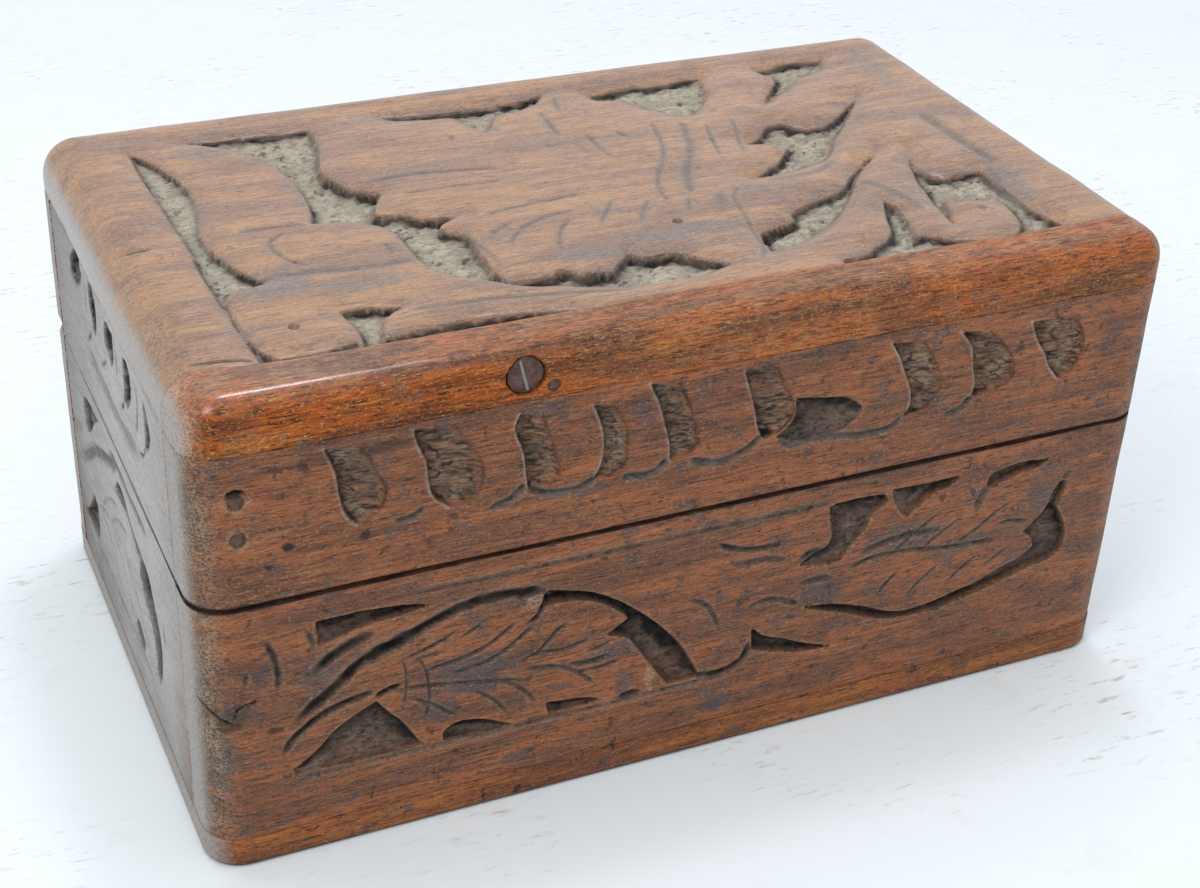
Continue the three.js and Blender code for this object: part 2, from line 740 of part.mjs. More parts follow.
// A leaf with its knuckles. It keeps clear of the other's knuckles, and is bored for the pin and screws.
function hingeLeaf(centre, upward, screws) {
  const start = centre - hingeLength / 2;
  const pitch = hingeLength / knuckleCount;
  const reach = knuckleRadius + knucklePlay;
  const near = hingeZ + (upward * leafPlay) / 2;
  const far = near + upward * leafThickness;
  let leaf = block(
    [start, leafEndY, Math.min(near, far)],
    [start + hingeLength, hingeY, Math.max(near, far)],
  );
  for (let i = 0; i < knuckleCount; i++) {
    const own = (i % 2 === 1) === upward > 0;
    const play = own ? -knucklePlay / 2 : knucklePlay / 2;
    const from = start + i * pitch - (i === 0 ? 0 : play);
    const to = start + (i + 1) * pitch + (i === knuckleCount - 1 ? 0 : play);
    if (own) {
      leaf = leaf.add(barrel(knuckleRadius, from, to));
    } else {
      const [outerFrom, outerTo] = [i === 0 ? from - 1 : from, i === knuckleCount - 1 ? to + 1 : to];
      leaf = leaf.subtract(
        block(
          [outerFrom, hingeY - reach, hingeZ - reach],
          [outerTo, hingeY + reach, hingeZ + reach],
        ),
      );
    }
  }
  leaf = leaf.subtract(barrel(pinRadius + pinPlay, start - 1, start + hingeLength + 1));
  return screws.reduce((metal, { seat }) => metal.subtract(seat), leaf);
}

// A hinge's pieces, with the mortise for its leaves and the trough for its knuckles that the boards need.
function hinge(centre) {
  const [start, end] = [centre - hingeLength / 2, centre + hingeLength / 2];
  const screwXs = [centre - hingeScrewSpacing / 2, centre + hingeScrewSpacing / 2];
  const [lowerScrews, upperScrews] = [-1, 1].map((upward) =>
    screwXs.map((x, i) => hingeScrew(x, upward, upward + i)),
  );
  const mortiseReach = leafPlay / 2 + leafThickness + jointGap;
  const mortise = block(
    [start - jointGap, leafEndY - jointGap, hingeZ - mortiseReach],
    [end + jointGap, hingeY, hingeZ + mortiseReach],
  );
  const trough = barrel(knuckleRadius + knucklePlay, start - knucklePlay, end + knucklePlay);
  return {
    lowerLeaf: hingeLeaf(centre, -1, lowerScrews),
    upperLeaf: hingeLeaf(centre, 1, upperScrews),
    pin: barrel(pinRadius, start, end),
    lowerScrews,
    upperScrews,
    seat: mortise.add(trough),
  };
}

// Assembly

const finishes = {
  board: { color: 0x6b3f2a, roughness: 0.55, metalness: 0 },
  top: { color: 0x9a5f38, roughness: 0.5, metalness: 0 },
  strip: { color: 0x8f4417, roughness: 0.35, metalness: 0 },
  iron: { color: 0x4a423a, roughness: 0.6, metalness: 0.8 },
};

function addPiece(group, name, piece, finish) {
  const { vertProperties, triVerts } = piece.getMesh();
  const geometry = new THREE.BufferGeometry();
  geometry.setAttribute("position", new THREE.BufferAttribute(vertProperties, 3));
  geometry.setIndex(new THREE.BufferAttribute(triVerts, 1));
  geometry.computeVertexNormals();
  const mesh = new THREE.Mesh(geometry, new THREE.MeshStandardMaterial(finishes[finish]));
  mesh.name = name;
  group.add(mesh);
}

const seated = (wood, fasteners) => fasteners.reduce((left, { seat }) => left.subtract(seat), wood);

// Four carved walls, nailed at the corners. What sits in the front and back boards is cut out of them.
function addWalls(group, prefix, { low, high, toZ, longCuts, shortCuts, nailHeights, inFront, inBack }) {
  const nails = { front: cornerNails(-1, nailHeights), back: cornerNails(1, nailHeights) };
  const front = carved(longBoard(-1, low, high), panels.front(toZ), longCuts);
  const back = carved(longBoard(1, low, high), panels.back(toZ), longCuts);
  addPiece(group, `${prefix}_front_board`, seated(front, [...nails.front, ...inFront]), "board");
  addPiece(group, `${prefix}_back_board`, seated(back, [...nails.back, ...inBack]), "board");
  const allNails = [...nails.front, ...nails.back];
  for (const side of [-1, 1]) {
    const name = side < 0 ? "left" : "right";
    const end = carved(endBoard(side, low, high), panels[name](toZ), shortCuts);
    const itsNails = allNails.filter((one) => one.end === side);
    addPiece(group, `${prefix}_${name}_end`, seated(end, itsNails), "board");
  }
  allNails.forEach(({ name, piece }) => addPiece(group, `${prefix}_${name}`, piece, "iron"));
}

const box = new THREE.Group();
const base = new THREE.Group();
const lid = new THREE.Group();
box.add(base, lid);

const hinges = [-hingeX, hingeX].map(hinge);
const [frontUnderNails, backUnderNails] = [bottomNails(-1), bottomNails(1)];

addWalls(base, "base", {
  low: bottomThickness + jointGap,
  high: baseHeight,
  toZ: baseZ,
  longCuts: longBaseCuts,
  shortCuts: shortBaseCuts,
  nailHeights: baseNailHeights,
  inFront: frontUnderNails,
  inBack: [
    ...backUnderNails,
    ...hinges,
    ...hinges.flatMap(({ lowerScrews }) => lowerScrews),
    { seat: stopChamfer(-1) },
  ],
});
const underNails = [...frontUnderNails, ...backUnderNails];
addPiece(base, "bottom_board", seated(bottomBoard(), underNails), "board");
underNails.forEach(({ name, piece }) => addPiece(base, name, piece, "iron"));

addWalls(lid, "lid", {
  low: lidBottom,
  high: topUnderside,
  toZ: lidZ,
  longCuts: longLidCuts,
  shortCuts: shortLidCuts,
  nailHeights: lidNailHeights.map((rise) => lidBottom + rise),
  inFront: [],
  inBack: [
    ...hinges,
    ...hinges.flatMap(({ upperScrews }) => upperScrews),
    { seat: stopChamfer(1) },
  ],
});

// The top board is parted into the carved panel and the strip along its front.
const slab = topBoard();
const stripSide = block(
  [-length, -width, 0],
  [length, stripJoint + jointGap / 2, 2 * height],
);
const panelSide = block(
  [-length, stripJoint - jointGap / 2, 0],
  [length, width, 2 * height],
);
const panel = carved(slab.subtract(stripSide), topFace, topCuts);
addPiece(lid, "top_panel", seated(panel, [stripScrew, stripNail]), "top");
addPiece(lid, "front_strip", seated(slab.subtract(panelSide), [stripScrew, stripNail]), "strip");
addPiece(lid, "strip_screw", stripScrew.piece, "iron");
addPiece(lid, "strip_nail", stripNail.piece, "iron");

hinges.forEach(({ lowerLeaf, upperLeaf, pin, lowerScrews, upperScrews }, i) => {
  const name = i === 0 ? "left_hinge" : "right_hinge";
  addPiece(base, `${name}_lower_leaf`, lowerLeaf, "iron");
  addPiece(base, `${name}_pin`, pin, "iron");
  addPiece(lid, `${name}_upper_leaf`, upperLeaf, "iron");
  lowerScrews.forEach(({ piece }, k) => addPiece(base, `${name}_lower_screw_${k + 1}`, piece, "iron"));
  upperScrews.forEach(({ piece }, k) => addPiece(lid, `${name}_upper_screw_${k + 1}`, piece, "iron"));
});

export default box;
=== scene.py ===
import math

import bmesh
import bpy
import numpy as np
from mathutils import Matrix, Vector


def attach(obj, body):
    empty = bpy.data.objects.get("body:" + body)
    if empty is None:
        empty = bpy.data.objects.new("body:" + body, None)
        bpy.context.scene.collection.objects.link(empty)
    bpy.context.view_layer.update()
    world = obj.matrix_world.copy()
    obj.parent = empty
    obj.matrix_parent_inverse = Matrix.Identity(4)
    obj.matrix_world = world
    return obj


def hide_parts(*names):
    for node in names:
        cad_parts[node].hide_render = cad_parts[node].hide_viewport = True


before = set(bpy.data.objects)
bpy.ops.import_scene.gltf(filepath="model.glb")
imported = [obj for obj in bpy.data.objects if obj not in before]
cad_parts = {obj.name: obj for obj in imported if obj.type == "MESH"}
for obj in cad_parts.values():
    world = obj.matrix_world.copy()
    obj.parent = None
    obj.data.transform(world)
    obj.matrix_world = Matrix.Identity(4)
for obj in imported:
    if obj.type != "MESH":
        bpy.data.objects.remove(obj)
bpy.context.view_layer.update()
scene = bpy.context.scene
scene.view_settings.view_transform = "Standard"

# Camera
# A box photographed from a little over half a metre up and to its left, close enough for its far
# corner to look smaller. The frame leans by under three degrees.

azimuth, elevation, lean = -0.4428, 0.5539, 0.0470
middle = Vector((0.003836, 0, 0.033754))
back = Vector(
    (
        math.sin(azimuth) * math.cos(elevation),
        -math.cos(azimuth) * math.cos(elevation),
        math.sin(elevation),
    )
)
level = Vector((0, 0, 1)).cross(back).normalized()
upright = back.cross(level)
right = level * math.cos(lean) + upright * math.sin(lean)
over = upright * math.cos(lean) - level * math.sin(lean)
distance = 0.40166
lens = bpy.data.cameras.new("camera")
lens.lens = 61.337
lens.sensor_width = 36
lens.clip_start = 0.01
camera = bpy.data.objects.new("camera", lens)
aimed = Matrix((right, over, back)).transposed().to_4x4()
camera.matrix_world = Matrix.Translation(middle + back * distance) @ aimed
scene.collection.objects.link(camera)
scene.camera = camera

# Floor and light
# A white table top, faintly specked and scratched, that runs out of the picture. It stands under a
# wide soft lamp, a small hard one and a window, in an evenly white room.


def paint(code):
    """The linear colour of an sRGB hex code."""
    parts = [int(code[i : i + 2], 16) / 255 for i in (1, 3, 5)]
    return [p / 12.92 if p <= 0.04045 else ((p + 0.055) / 1.055) ** 2.4 for p in parts] + [1]


def put(tree, kind, inputs, out=0, **settings):
    """Adds a node with its settings, links or fills its inputs, and gives one of its outputs."""
    node = tree.nodes.new(kind)
    for setting, value in settings.items():
        setattr(node, setting, value)
    for place, value in inputs.items():
        if isinstance(value, bpy.types.NodeSocket):
            tree.links.new(value, node.inputs[place])
        else:
            node.inputs[place].default_value = value
    return node.outputs[out] if node.outputs else node


bm = bmesh.new()
bmesh.ops.create_grid(bm, x_segments=4, y_segments=4, size=3)
bmesh.ops.translate(bm, verts=bm.verts, vec=(0, 0, -0.00005))
sheet_mesh = bpy.data.meshes.new("floor")
bm.to_mesh(sheet_mesh)
bm.free()
floor = bpy.data.objects.new("floor", sheet_mesh)
scene.collection.objects.link(floor)

# Painted board: a matt white with faint brown specks and scratches. Its white is painted a touch
# lighter in front and greyer towards the back, as painted light.
table = bpy.data.materials.new("painted_board")
table.use_nodes = True
tree = table.node_tree
tree.nodes.clear()
place = put(tree, "ShaderNodeTexCoord", {}, out="Object")
depth = put(tree, "ShaderNodeSeparateXYZ", {0: place}, out="Y")
# Painted light: the white goes from lighter in front to greyer behind.
far = put(
    tree, "ShaderNodeMapRange", {0: depth, 1: -0.15, 2: 0.35}, interpolation_type="SMOOTHSTEP",
)
white = put(
    tree, "ShaderNodeMix", {0: far, 6: paint("#F2F9FA"), 7: paint("#ECF0F3")}, out=2,
    data_type="RGBA",
)
smudge = put(
    tree, "ShaderNodeTexNoise", {"Vector": place, "Scale": 60, "Detail": 6, "Roughness": 0.65},
)
smudge = put(tree, "ShaderNodeMapRange", {0: smudge, 1: 0.58, 2: 0.8, 4: 0.35})
white = put(
    tree, "ShaderNodeMix", {0: smudge, 6: white, 7: paint("#D9D6CF")}, out=2, data_type="RGBA",
)
region = put(tree, "ShaderNodeTexNoise", {"Vector": place, "Scale": 16, "Detail": 3})
region = put(tree, "ShaderNodeMapRange", {0: region, 1: 0.45, 2: 0.6})
scratched = put(
    tree, "ShaderNodeMapping", {"Vector": place, "Rotation": (0, 0, 0.5), "Scale": (140, 700, 400)},
)
scratch = put(
    tree, "ShaderNodeTexNoise", {"Vector": scratched, "Scale": 1, "Detail": 4, "Roughness": 0.7},
)
scratch = put(tree, "ShaderNodeMapRange", {0: scratch, 1: 0.57, 2: 0.7, 4: 0.7})
scratch = put(tree, "ShaderNodeMath", {0: scratch, 1: region}, operation="MULTIPLY")
white = put(
    tree, "ShaderNodeMix", {0: scratch, 6: white, 7: paint("#A69A84")}, out=2, data_type="RGBA",
)
matt = put(tree, "ShaderNodeBsdfDiffuse", {"Color": white})
put(tree, "ShaderNodeOutputMaterial", {0: matt})
sheet_mesh.materials.append(table)

room = bpy.data.worlds.new("room")
scene.world = room
room.use_nodes = True
tree = room.node_tree
tree.nodes.clear()
seen = put(tree, "ShaderNodeLightPath", {}, out="Is Camera Ray")
seen_path = seen.node
mirrored = put(
    tree, "ShaderNodeMath", {0: seen, 1: seen_path.outputs["Is Glossy Ray"]}, operation="MAXIMUM",
)
mirrored = put(
    tree, "ShaderNodeMath", {0: mirrored, 1: seen_path.outputs["Is Transmission Ray"]},
    operation="MAXIMUM",
)
light = put(tree, "ShaderNodeBackground", {"Color": paint("#F6FAFF"), "Strength": 0.82})
shown = put(tree, "ShaderNodeBackground", {"Color": paint("#F6FAFF"), "Strength": 1})
both = put(tree, "ShaderNodeMixShader", {0: mirrored, 1: light, 2: shown})
put(tree, "ShaderNodeOutputWorld", {0: both})


def lamp(name, spot, aim, size, watts, tint):
    """A square lamp at a spot, turned to what it aims at, all in metres."""
    light = bpy.data.lights.new(name, "AREA")
    light.size = size
    light.energy = watts
    light.color = paint(tint)[:3]
    stand = bpy.data.objects.new(name, light)
    turn = (Vector(spot) - Vector(aim)).to_track_quat("Z", "Y")
    stand.matrix_world = Matrix.Translation(spot) @ turn.to_matrix().to_4x4()
    scene.collection.objects.link(stand)


lamp("softbox", (-0.05, 0.2, 1.2), (0, 0, 0.05), 0.8, 2.3, "#FFFDF9")
lamp("bulb", (0.13, 0.2, 1), (0, 0, 0.05), 0.12, 1.3, "#F0F0FF")
lamp("window", (-0.75, -0.45, 0.8), (0, 0, 0.06), 0.42, 3.6, "#FBFBFF")

# Base, front and back boards
# Eleven-millimetre boards of sheesham that run the full length, their outer corners rounded over
# and their faces cut by hand with two veined leaves. The end boards are nailed between them.


def ticks(*stretches):
    """Grid lines over stretches of (start, end, spacing), in millimetres."""
    lines = [np.linspace(a, b, max(round((b - a) / gap), 1) + 1) for a, b, gap in stretches]
    return np.concatenate([lines[0]] + [line[1:] for line in lines[1:]])


def sheet(across, up):
    """A flat grid with lines at the given places, where its points are, and which are its rim."""
    bm = bmesh.new()
    bmesh.ops.create_grid(bm, x_segments=len(across) - 1, y_segments=len(up) - 1, size=1)
    mesh = bpy.data.meshes.new("sheet")
    bm.to_mesh(mesh)
    bm.free()
    found = np.empty(len(mesh.vertices) * 3, np.float32)
    mesh.vertices.foreach_get("co", found)
    steps = (found.reshape(-1, 3)[:, :2] + 1) / 2 * [len(across) - 1, len(up) - 1]
    column, row = np.rint(steps).astype(int).T
    at = np.stack([across[column], up[row]], 1)
    rim = (column == 0) | (column == len(across) - 1) | (row == 0) | (row == len(up) - 1)
    return mesh, at, rim


def fade(value, low, high):
    """From 0 to 1 as the value goes from low to high, smoothly at both ends."""
    t = np.clip((value - low) / (high - low), 0, 1)
    return t * t * (3 - 2 * t)


def mottle(at, size, seed):
    """Smooth random heights from -1 to 1, as wide and as high as the size in millimetres."""
    cells = np.random.RandomState(seed).uniform(-1, 1, (64, 64))
    p = at / np.array(size, float) + 17.3
    low = np.floor(p).astype(int)
    t = fade(p - low, 0, 1)
    x, y = low.T % 64
    near = cells[x, y] * (1 - t[:, 0]) + cells[(x + 1) % 64, y] * t[:, 0]
    next_ = cells[x, (y + 1) % 64] * (1 - t[:, 0]) + cells[(x + 1) % 64, (y + 1) % 64] * t[:, 0]
    return near * (1 - t[:, 1]) + next_ * t[:, 1]


def curve(points):
    """A smooth stroke through the points, with a place every half millimetre."""
    p = np.array(points, float)
    ends = np.vstack([2 * p[0] - p[1], p, 2 * p[-1] - p[-2]])
    stroke = []
    for a, b, c, d in zip(ends, ends[1:], ends[2:], ends[3:]):
        count = max(int(np.hypot(*(c - b)) / 0.5), 1)
        t = np.arange(count)[:, None] / count
        bend = (-a + c) * t + (2 * a - 5 * b + 4 * c - d) * t**2 + (3 * b - a - 3 * c + d) * t**3
        stroke.append(b + bend / 2)
    return np.vstack(stroke + [p[-1:]])


def outline(runs):
    """A closed line of smooth strokes, each of which goes on from the last one's end."""
    line = curve(runs[0]) if len(runs[0]) > 1 else np.array(runs[0], float)
    for run in runs[1:]:
        line = np.vstack([line, curve([tuple(line[-1])] + list(run))[1:]])
    return np.vstack([line, curve([tuple(line[-1]), tuple(line[0])])[1:]])


def inset(line, by):
    """A closed line moved inwards."""
    step = np.roll(line, -1, axis=0) - np.roll(line, 1, axis=0)
    across = np.stack([-step[:, 1], step[:, 0]], 1) / np.maximum(np.hypot(*step.T), 1e-6)[:, None]
    turns = np.sum(line[:-1, 0] * line[1:, 1] - line[1:, 0] * line[:-1, 1])
    return line + by * np.sign(turns) * across


def nearest(at, line):
    """How far the line is from each point, how far along it that is, where, and on which side."""
    steps = np.diff(line, axis=0)
    lengths = np.hypot(*steps.T)
    keep = lengths > 1e-6
    starts, steps, lengths = line[:-1][keep], steps[keep], lengths[keep]
    before = np.concatenate([[0], np.cumsum(lengths)[:-1]])
    found = []
    batch = max(1, 2_000_000 // len(steps))
    for i in range(0, len(at), batch):
        offset = at[i : i + batch, None] - starts
        t = np.clip((offset * steps).sum(2) / lengths**2, 0, 1)
        away = offset - t[..., None] * steps
        gap = np.hypot(away[..., 0], away[..., 1])
        k = gap.argmin(1)
        rows = np.arange(len(k))
        t, away, step = t[rows, k], away[rows, k], steps[k]
        foot = starts[k] + t[:, None] * step
        side = np.sign(step[:, 0] * away[:, 1] - step[:, 1] * away[:, 0])
        found.append((gap[rows, k], before[k] + t * lengths[k], foot, side))
    return [np.concatenate(part) for part in zip(*found)]


def within(at, line):
    """Which points a closed line goes round."""
    inside = np.zeros(len(at), bool)
    for (x0, y0), (x1, y1) in zip(line, line[1:]):
        if y0 != y1:
            crosses = (at[:, 1] < y0) != (at[:, 1] < y1)
            inside ^= crosses & (at[:, 0] < (x1 - x0) * (at[:, 1] - y0) / (y1 - y0) + x0)
    return inside


# Every mark is described by its lines, which the grid's points are drawn to, by how far it reaches
# and by what it does to a point: how many millimetres it goes down, and how much it makes it cut
# ground, grime with painted shade, worn rim, black stain, tan fibre, grey film or bleached wood
# with painted sheen, each from 0 to 1.


def pocket(
    *runs,
    deep,
    shallow=None,
    fall=None,
    wall=0.4,
    grime=0.35,
    rough=0.12,
    seed=1,
    edge=(0.16, 0.5),
    dust=1,
    film=0,
    shade=2.2,
):
    """Ground cut out between walls. It rises from deep to shallow along the line fall, and the edge
    above it is worn down by the first of two sizes, over the second."""
    line = outline(runs)

    def cut(at):
        away, _, foot, _ = nearest(at, line)
        overhang_shade = fade((foot - at)[:, 1] / np.maximum(away, 1e-3), -0.3, 0.6)
        gap = away * np.where(within(at, line), 1, -1)
        rise = np.zeros(len(at))
        if fall:
            start, end = np.array(fall, float)
            rise = np.clip((at - start) @ (end - start) / ((end - start) ** 2).sum(), 0, 1)
        tooling = mottle(at, (1.9, 1.1), seed) + 0.8 * mottle(at, (0.9, 0.7), seed + 9)
        floor = (deep + ((shallow or deep) - deep) * rise) * (1 + rough * tooling)
        uneven = 1 + 0.3 * mottle(at, (4, 4), seed + 5)
        soft = edge[0] * np.exp(np.minimum(gap, 0) / edge[1]) * uneven
        down = np.where(gap > 0, soft + np.maximum(floor - soft, 0) * fade(gap, -0.05, wall), soft)
        # Painted shade: the floor darkens near a wall, most under one that stands above it, fading
        # over shade mm; it goes into the grime, which also darkens the walls themselves.
        under = 1.2 * np.exp(-np.maximum(gap - wall, 0) / shade) * (0.3 + 0.7 * overhang_shade)
        dark = 0.75 * grime * (1 - 0.5 * rise) + under
        dark *= 0.85 + 0.3 * mottle(at, (2.2, 1.2), seed + 3)
        greyed = np.exp(-np.abs(gap + 0.2) / 1.3) * (0.6 + 0.6 * mottle(at, (3, 2), seed + 4))
        return {
            "down": down,
            "cut": dust * fade(gap, 0.3 * wall, 1.1 * wall) * (1 - 0.35 * rise),
            "grime": np.clip(dark, 0, 1) * fade(gap, -0.05, 0.6 * wall),
            "worn": 0.4 * np.exp(-(((gap + 0.15) / 0.25) ** 2)) * (film == 0),
            "film": film * greyed,
        }

    return {"lines": [line, inset(line, wall)], "cut": cut, "reach": line}


def groove(*points, wide, deep, ends=(3, 3), grime=0.7, lean=0, seed=2, raw=0.7, film=0.4, lint=0):
    """A stroke of the veiner that fades out towards its ends, and can lean to its left (1)."""
    line = curve(points)

    def cut(at):
        gap, along, _, side = nearest(at, line)
        total = np.hypot(*np.diff(line, axis=0).T).sum()
        size = np.minimum(fade(along, -0.3, ends[0]), fade(total - along, -0.3, ends[1]))
        size *= 1 + 0.2 * mottle(at, (1.7, 1.1), seed)
        across = gap / (0.6 * wide * (0.45 + 0.55 * size) * (1 + lean * side))
        profile = np.clip(1 - across, 0, 1)
        fluff = np.exp(-(((across - 0.3) / 0.4) ** 2)) * (0.7 + 0.5 * mottle(at, (1.3, 1.3), 9))
        return {
            "down": deep * size * profile**0.8,
            "cut": raw * size * fade(profile, 0, 0.6),
            # Grime and painted shade along the groove's floor, fading out towards its ends.
            "grime": grime * size * fade(profile, 0, 0.7),
            "worn": 0.35 * size * np.exp(-(((across - 1.3) / 0.3) ** 2)) * (film < 0.5),
            "film": film * size * np.exp(-((across / 1.4) ** 2)),
            "bleach_and_sheen": lint * size * fluff,
        }

    return {"lines": [line] if wide < 1.4 else [], "cut": cut, "reach": line}


def scoop(left, right, deep, grime=0.45, seed=3, fibre=0.8):
    """A notch made by a stop cut on its left and a gouge pushed towards it from the right."""
    line = np.vstack([curve(left), curve([left[-1], right[-1]])[1:], curve(right[::-1])[1:]])
    line = np.vstack([line, curve([right[0], left[0]])[1:]])
    stop, run = curve(left), curve(right)

    def cut(at):
        inside = within(at, line)
        gap = nearest(at, line)[0] * np.where(inside, 1, -1)
        to_stop, to_run = nearest(at, stop)[0], nearest(at, run)[0]
        rise = to_run / (to_stop + to_run + 1e-6)
        sloped = at @ [[1, 0.16], [0, 1]]
        torn = mottle(sloped, (5, 1.0), seed) + 0.5 * mottle(sloped, (1.9, 0.7), seed + 5)
        floor = deep * (0.2 + 0.65 * rise) * (1 + 0.28 * torn)
        down = floor * fade(to_stop, -0.05, 0.4) * fade(gap, 0, 0.8) * inside
        edge = np.exp(-((to_run / 0.28) ** 2)) * (0.6 + 0.4 * mottle(at, (3, 3), seed + 7))
        # Painted shade: a dark line at the foot of the stop cut, and more towards the deep side;
        # the torn fibres add dark lines of their own.
        dark = grime * 0.3 * rise + 0.6 * np.exp(-((to_stop - 0.4) ** 2) / 0.1)
        dark += 0.9 * np.clip(torn - 0.3, 0, 1) + 0.95 * np.exp(-(((torn + 0.2) / 0.15) ** 2))
        lint = np.exp(-(((to_stop - 0.05) / 0.25) ** 2))
        return {
            "down": np.maximum(down, 0.28 * edge),
            "cut": (1 - fibre) * fade(gap, -0.1, 0.8),
            "tan": fibre * fade(gap, 0, 1.2) * (1 + 0.3 * torn),
            "grime": np.maximum(np.clip(dark, 0, 1) * fade(gap, 0, 0.4), 0.8 * edge),
            "worn": 0.5 * np.exp(-(((to_stop - 0.05) / 0.22) ** 2)) * (gap < 0.15),
            "bleach_and_sheen": 0.55 * lint * (0.5 + 0.7 * mottle(at, (1.3, 1.3), seed + 8)),
        }

    return {"lines": [line], "cut": cut, "reach": line}


def hollow(x, y, radius, deep, grime=0.6, rim=0.25):
    """A round pit, such as a nail's or a worm's hole."""

    def cut(at):
        gap = radius - np.hypot(at[:, 0] - x, at[:, 1] - y)
        return {
            "down": deep * fade(gap, -rim / 2, rim / 2),
            "cut": fade(gap, -0.1, 0.3) * 0.8,
            # Grime and painted shade in the pit.
            "grime": grime * fade(gap, -0.2, 0.3),
        }

    reach = np.array([[x - radius, y - radius], [x + radius, y + radius]])
    return {"lines": [], "cut": cut, "reach": reach}


def stain(x, y, wide, high, strength, seed=4, field="stain"):
    """A blot without depth."""

    def cut(at):
        far = np.hypot((at[:, 0] - x) / wide, (at[:, 1] - y) / high)
        far += 0.3 * mottle(at, (1.2, 1.2), seed) + 0.15 * mottle(at, (0.5, 0.5), seed)
        return {field: strength * fade(1 - far, -0.2, 0.35)}

    reach = np.array([[x - wide, y - high], [x + wide, y + high]]) * 1.0
    return {"lines": [], "cut": cut, "reach": reach}


marked = ("cut", "grime", "worn", "stain", "tan", "film", "bleach_and_sheen", "polish")


def carve(at, rim, marks, cell=0.36):
    """Draws the grid to the lines of the marks, and gives what all the marks do to each point."""
    for mark in marks:
        for line in mark["lines"]:
            close = ((at > line.min(0) - cell) & (at < line.max(0) + cell)).all(1) & ~rim
            picked = np.flatnonzero(close)
            if len(picked):
                gap, _, foot, _ = nearest(at[picked], line)
                take = gap < 0.5 * cell
                at[picked[take]] = foot[take]
    fields = {name: np.zeros(len(at)) for name in ("down", *marked)}
    margin = 7
    for mark in marks:
        low, high = mark["reach"].min(0) - margin, mark["reach"].max(0) + margin
        picked = np.flatnonzero(((at > low) & (at < high)).all(1))
        if len(picked):
            for name, value in mark["cut"](at[picked]).items():
                fields[name][picked] = np.maximum(fields[name][picked], value)
    return fields


def round_over(gap, radius):
    """How far an edge worn round has gone in, at a distance from the edge."""
    inner = np.clip(radius - gap, 0, radius)
    return radius - np.sqrt(radius**2 - inner**2)


def fasten(piece, body, nodes, slot, *materials):
    """Links a piece with its materials and says what it rides on and stands for."""
    scene.collection.objects.link(piece)
    for material in materials:
        piece.data.materials.append(material)
    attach(piece, body)
    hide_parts(*nodes)


crease = math.radians(42)


def board(name, mesh, outside, inside, fields, material, body, node, slot):
    """Lays a sheet over a board's outer face, and closes it behind at the given places (mm)."""
    mesh.name = name
    mesh.vertices.foreach_set("co", (outside / 1000).astype(np.float32).ravel())
    for field in marked:
        layer = mesh.attributes.new(field, "FLOAT", "POINT")
        layer.data.foreach_set("value", np.clip(fields[field], 0, 1).astype(np.float32))
    layer = mesh.attributes.new("inside", "FLOAT_VECTOR", "POINT")
    layer.data.foreach_set("vector", (inside / 1000).astype(np.float32).ravel())
    bm = bmesh.new()
    bm.from_mesh(mesh)
    bmesh.ops.triangulate(bm, faces=bm.faces[:], quad_method="SHORT_EDGE", ngon_method="BEAUTY")
    target = bm.verts.layers.float_vector["inside"]
    # The rim goes in by two steps, so that the marks end at the face's edge.
    for share in (0.08, 1):
        grown = bmesh.ops.extrude_edge_only(bm, edges=[e for e in bm.edges if e.is_boundary])
        for vertex in grown["geom"]:
            if isinstance(vertex, bmesh.types.BMVert):
                vertex.co = vertex.co.lerp(vertex[target], share)
                for field in marked:
                    vertex[bm.verts.layers.float[field]] = 0
    bmesh.ops.remove_doubles(bm, verts=bm.verts, dist=2e-6)
    bmesh.ops.edgeloop_fill(bm, edges=[e for e in bm.edges if e.is_boundary])
    bmesh.ops.triangulate(bm, faces=[f for f in bm.faces if len(f.verts) > 4], ngon_method="BEAUTY")
    bmesh.ops.recalc_face_normals(bm, faces=bm.faces)
    bm.verts.layers.float_vector.remove(target)
    for face in bm.faces:
        face.smooth = True
    bm.to_mesh(mesh)
    bm.free()
    mesh.set_sharp_from_angle(angle=crease)
    fasten(bpy.data.objects.new(name, mesh), body, [node], slot, material)


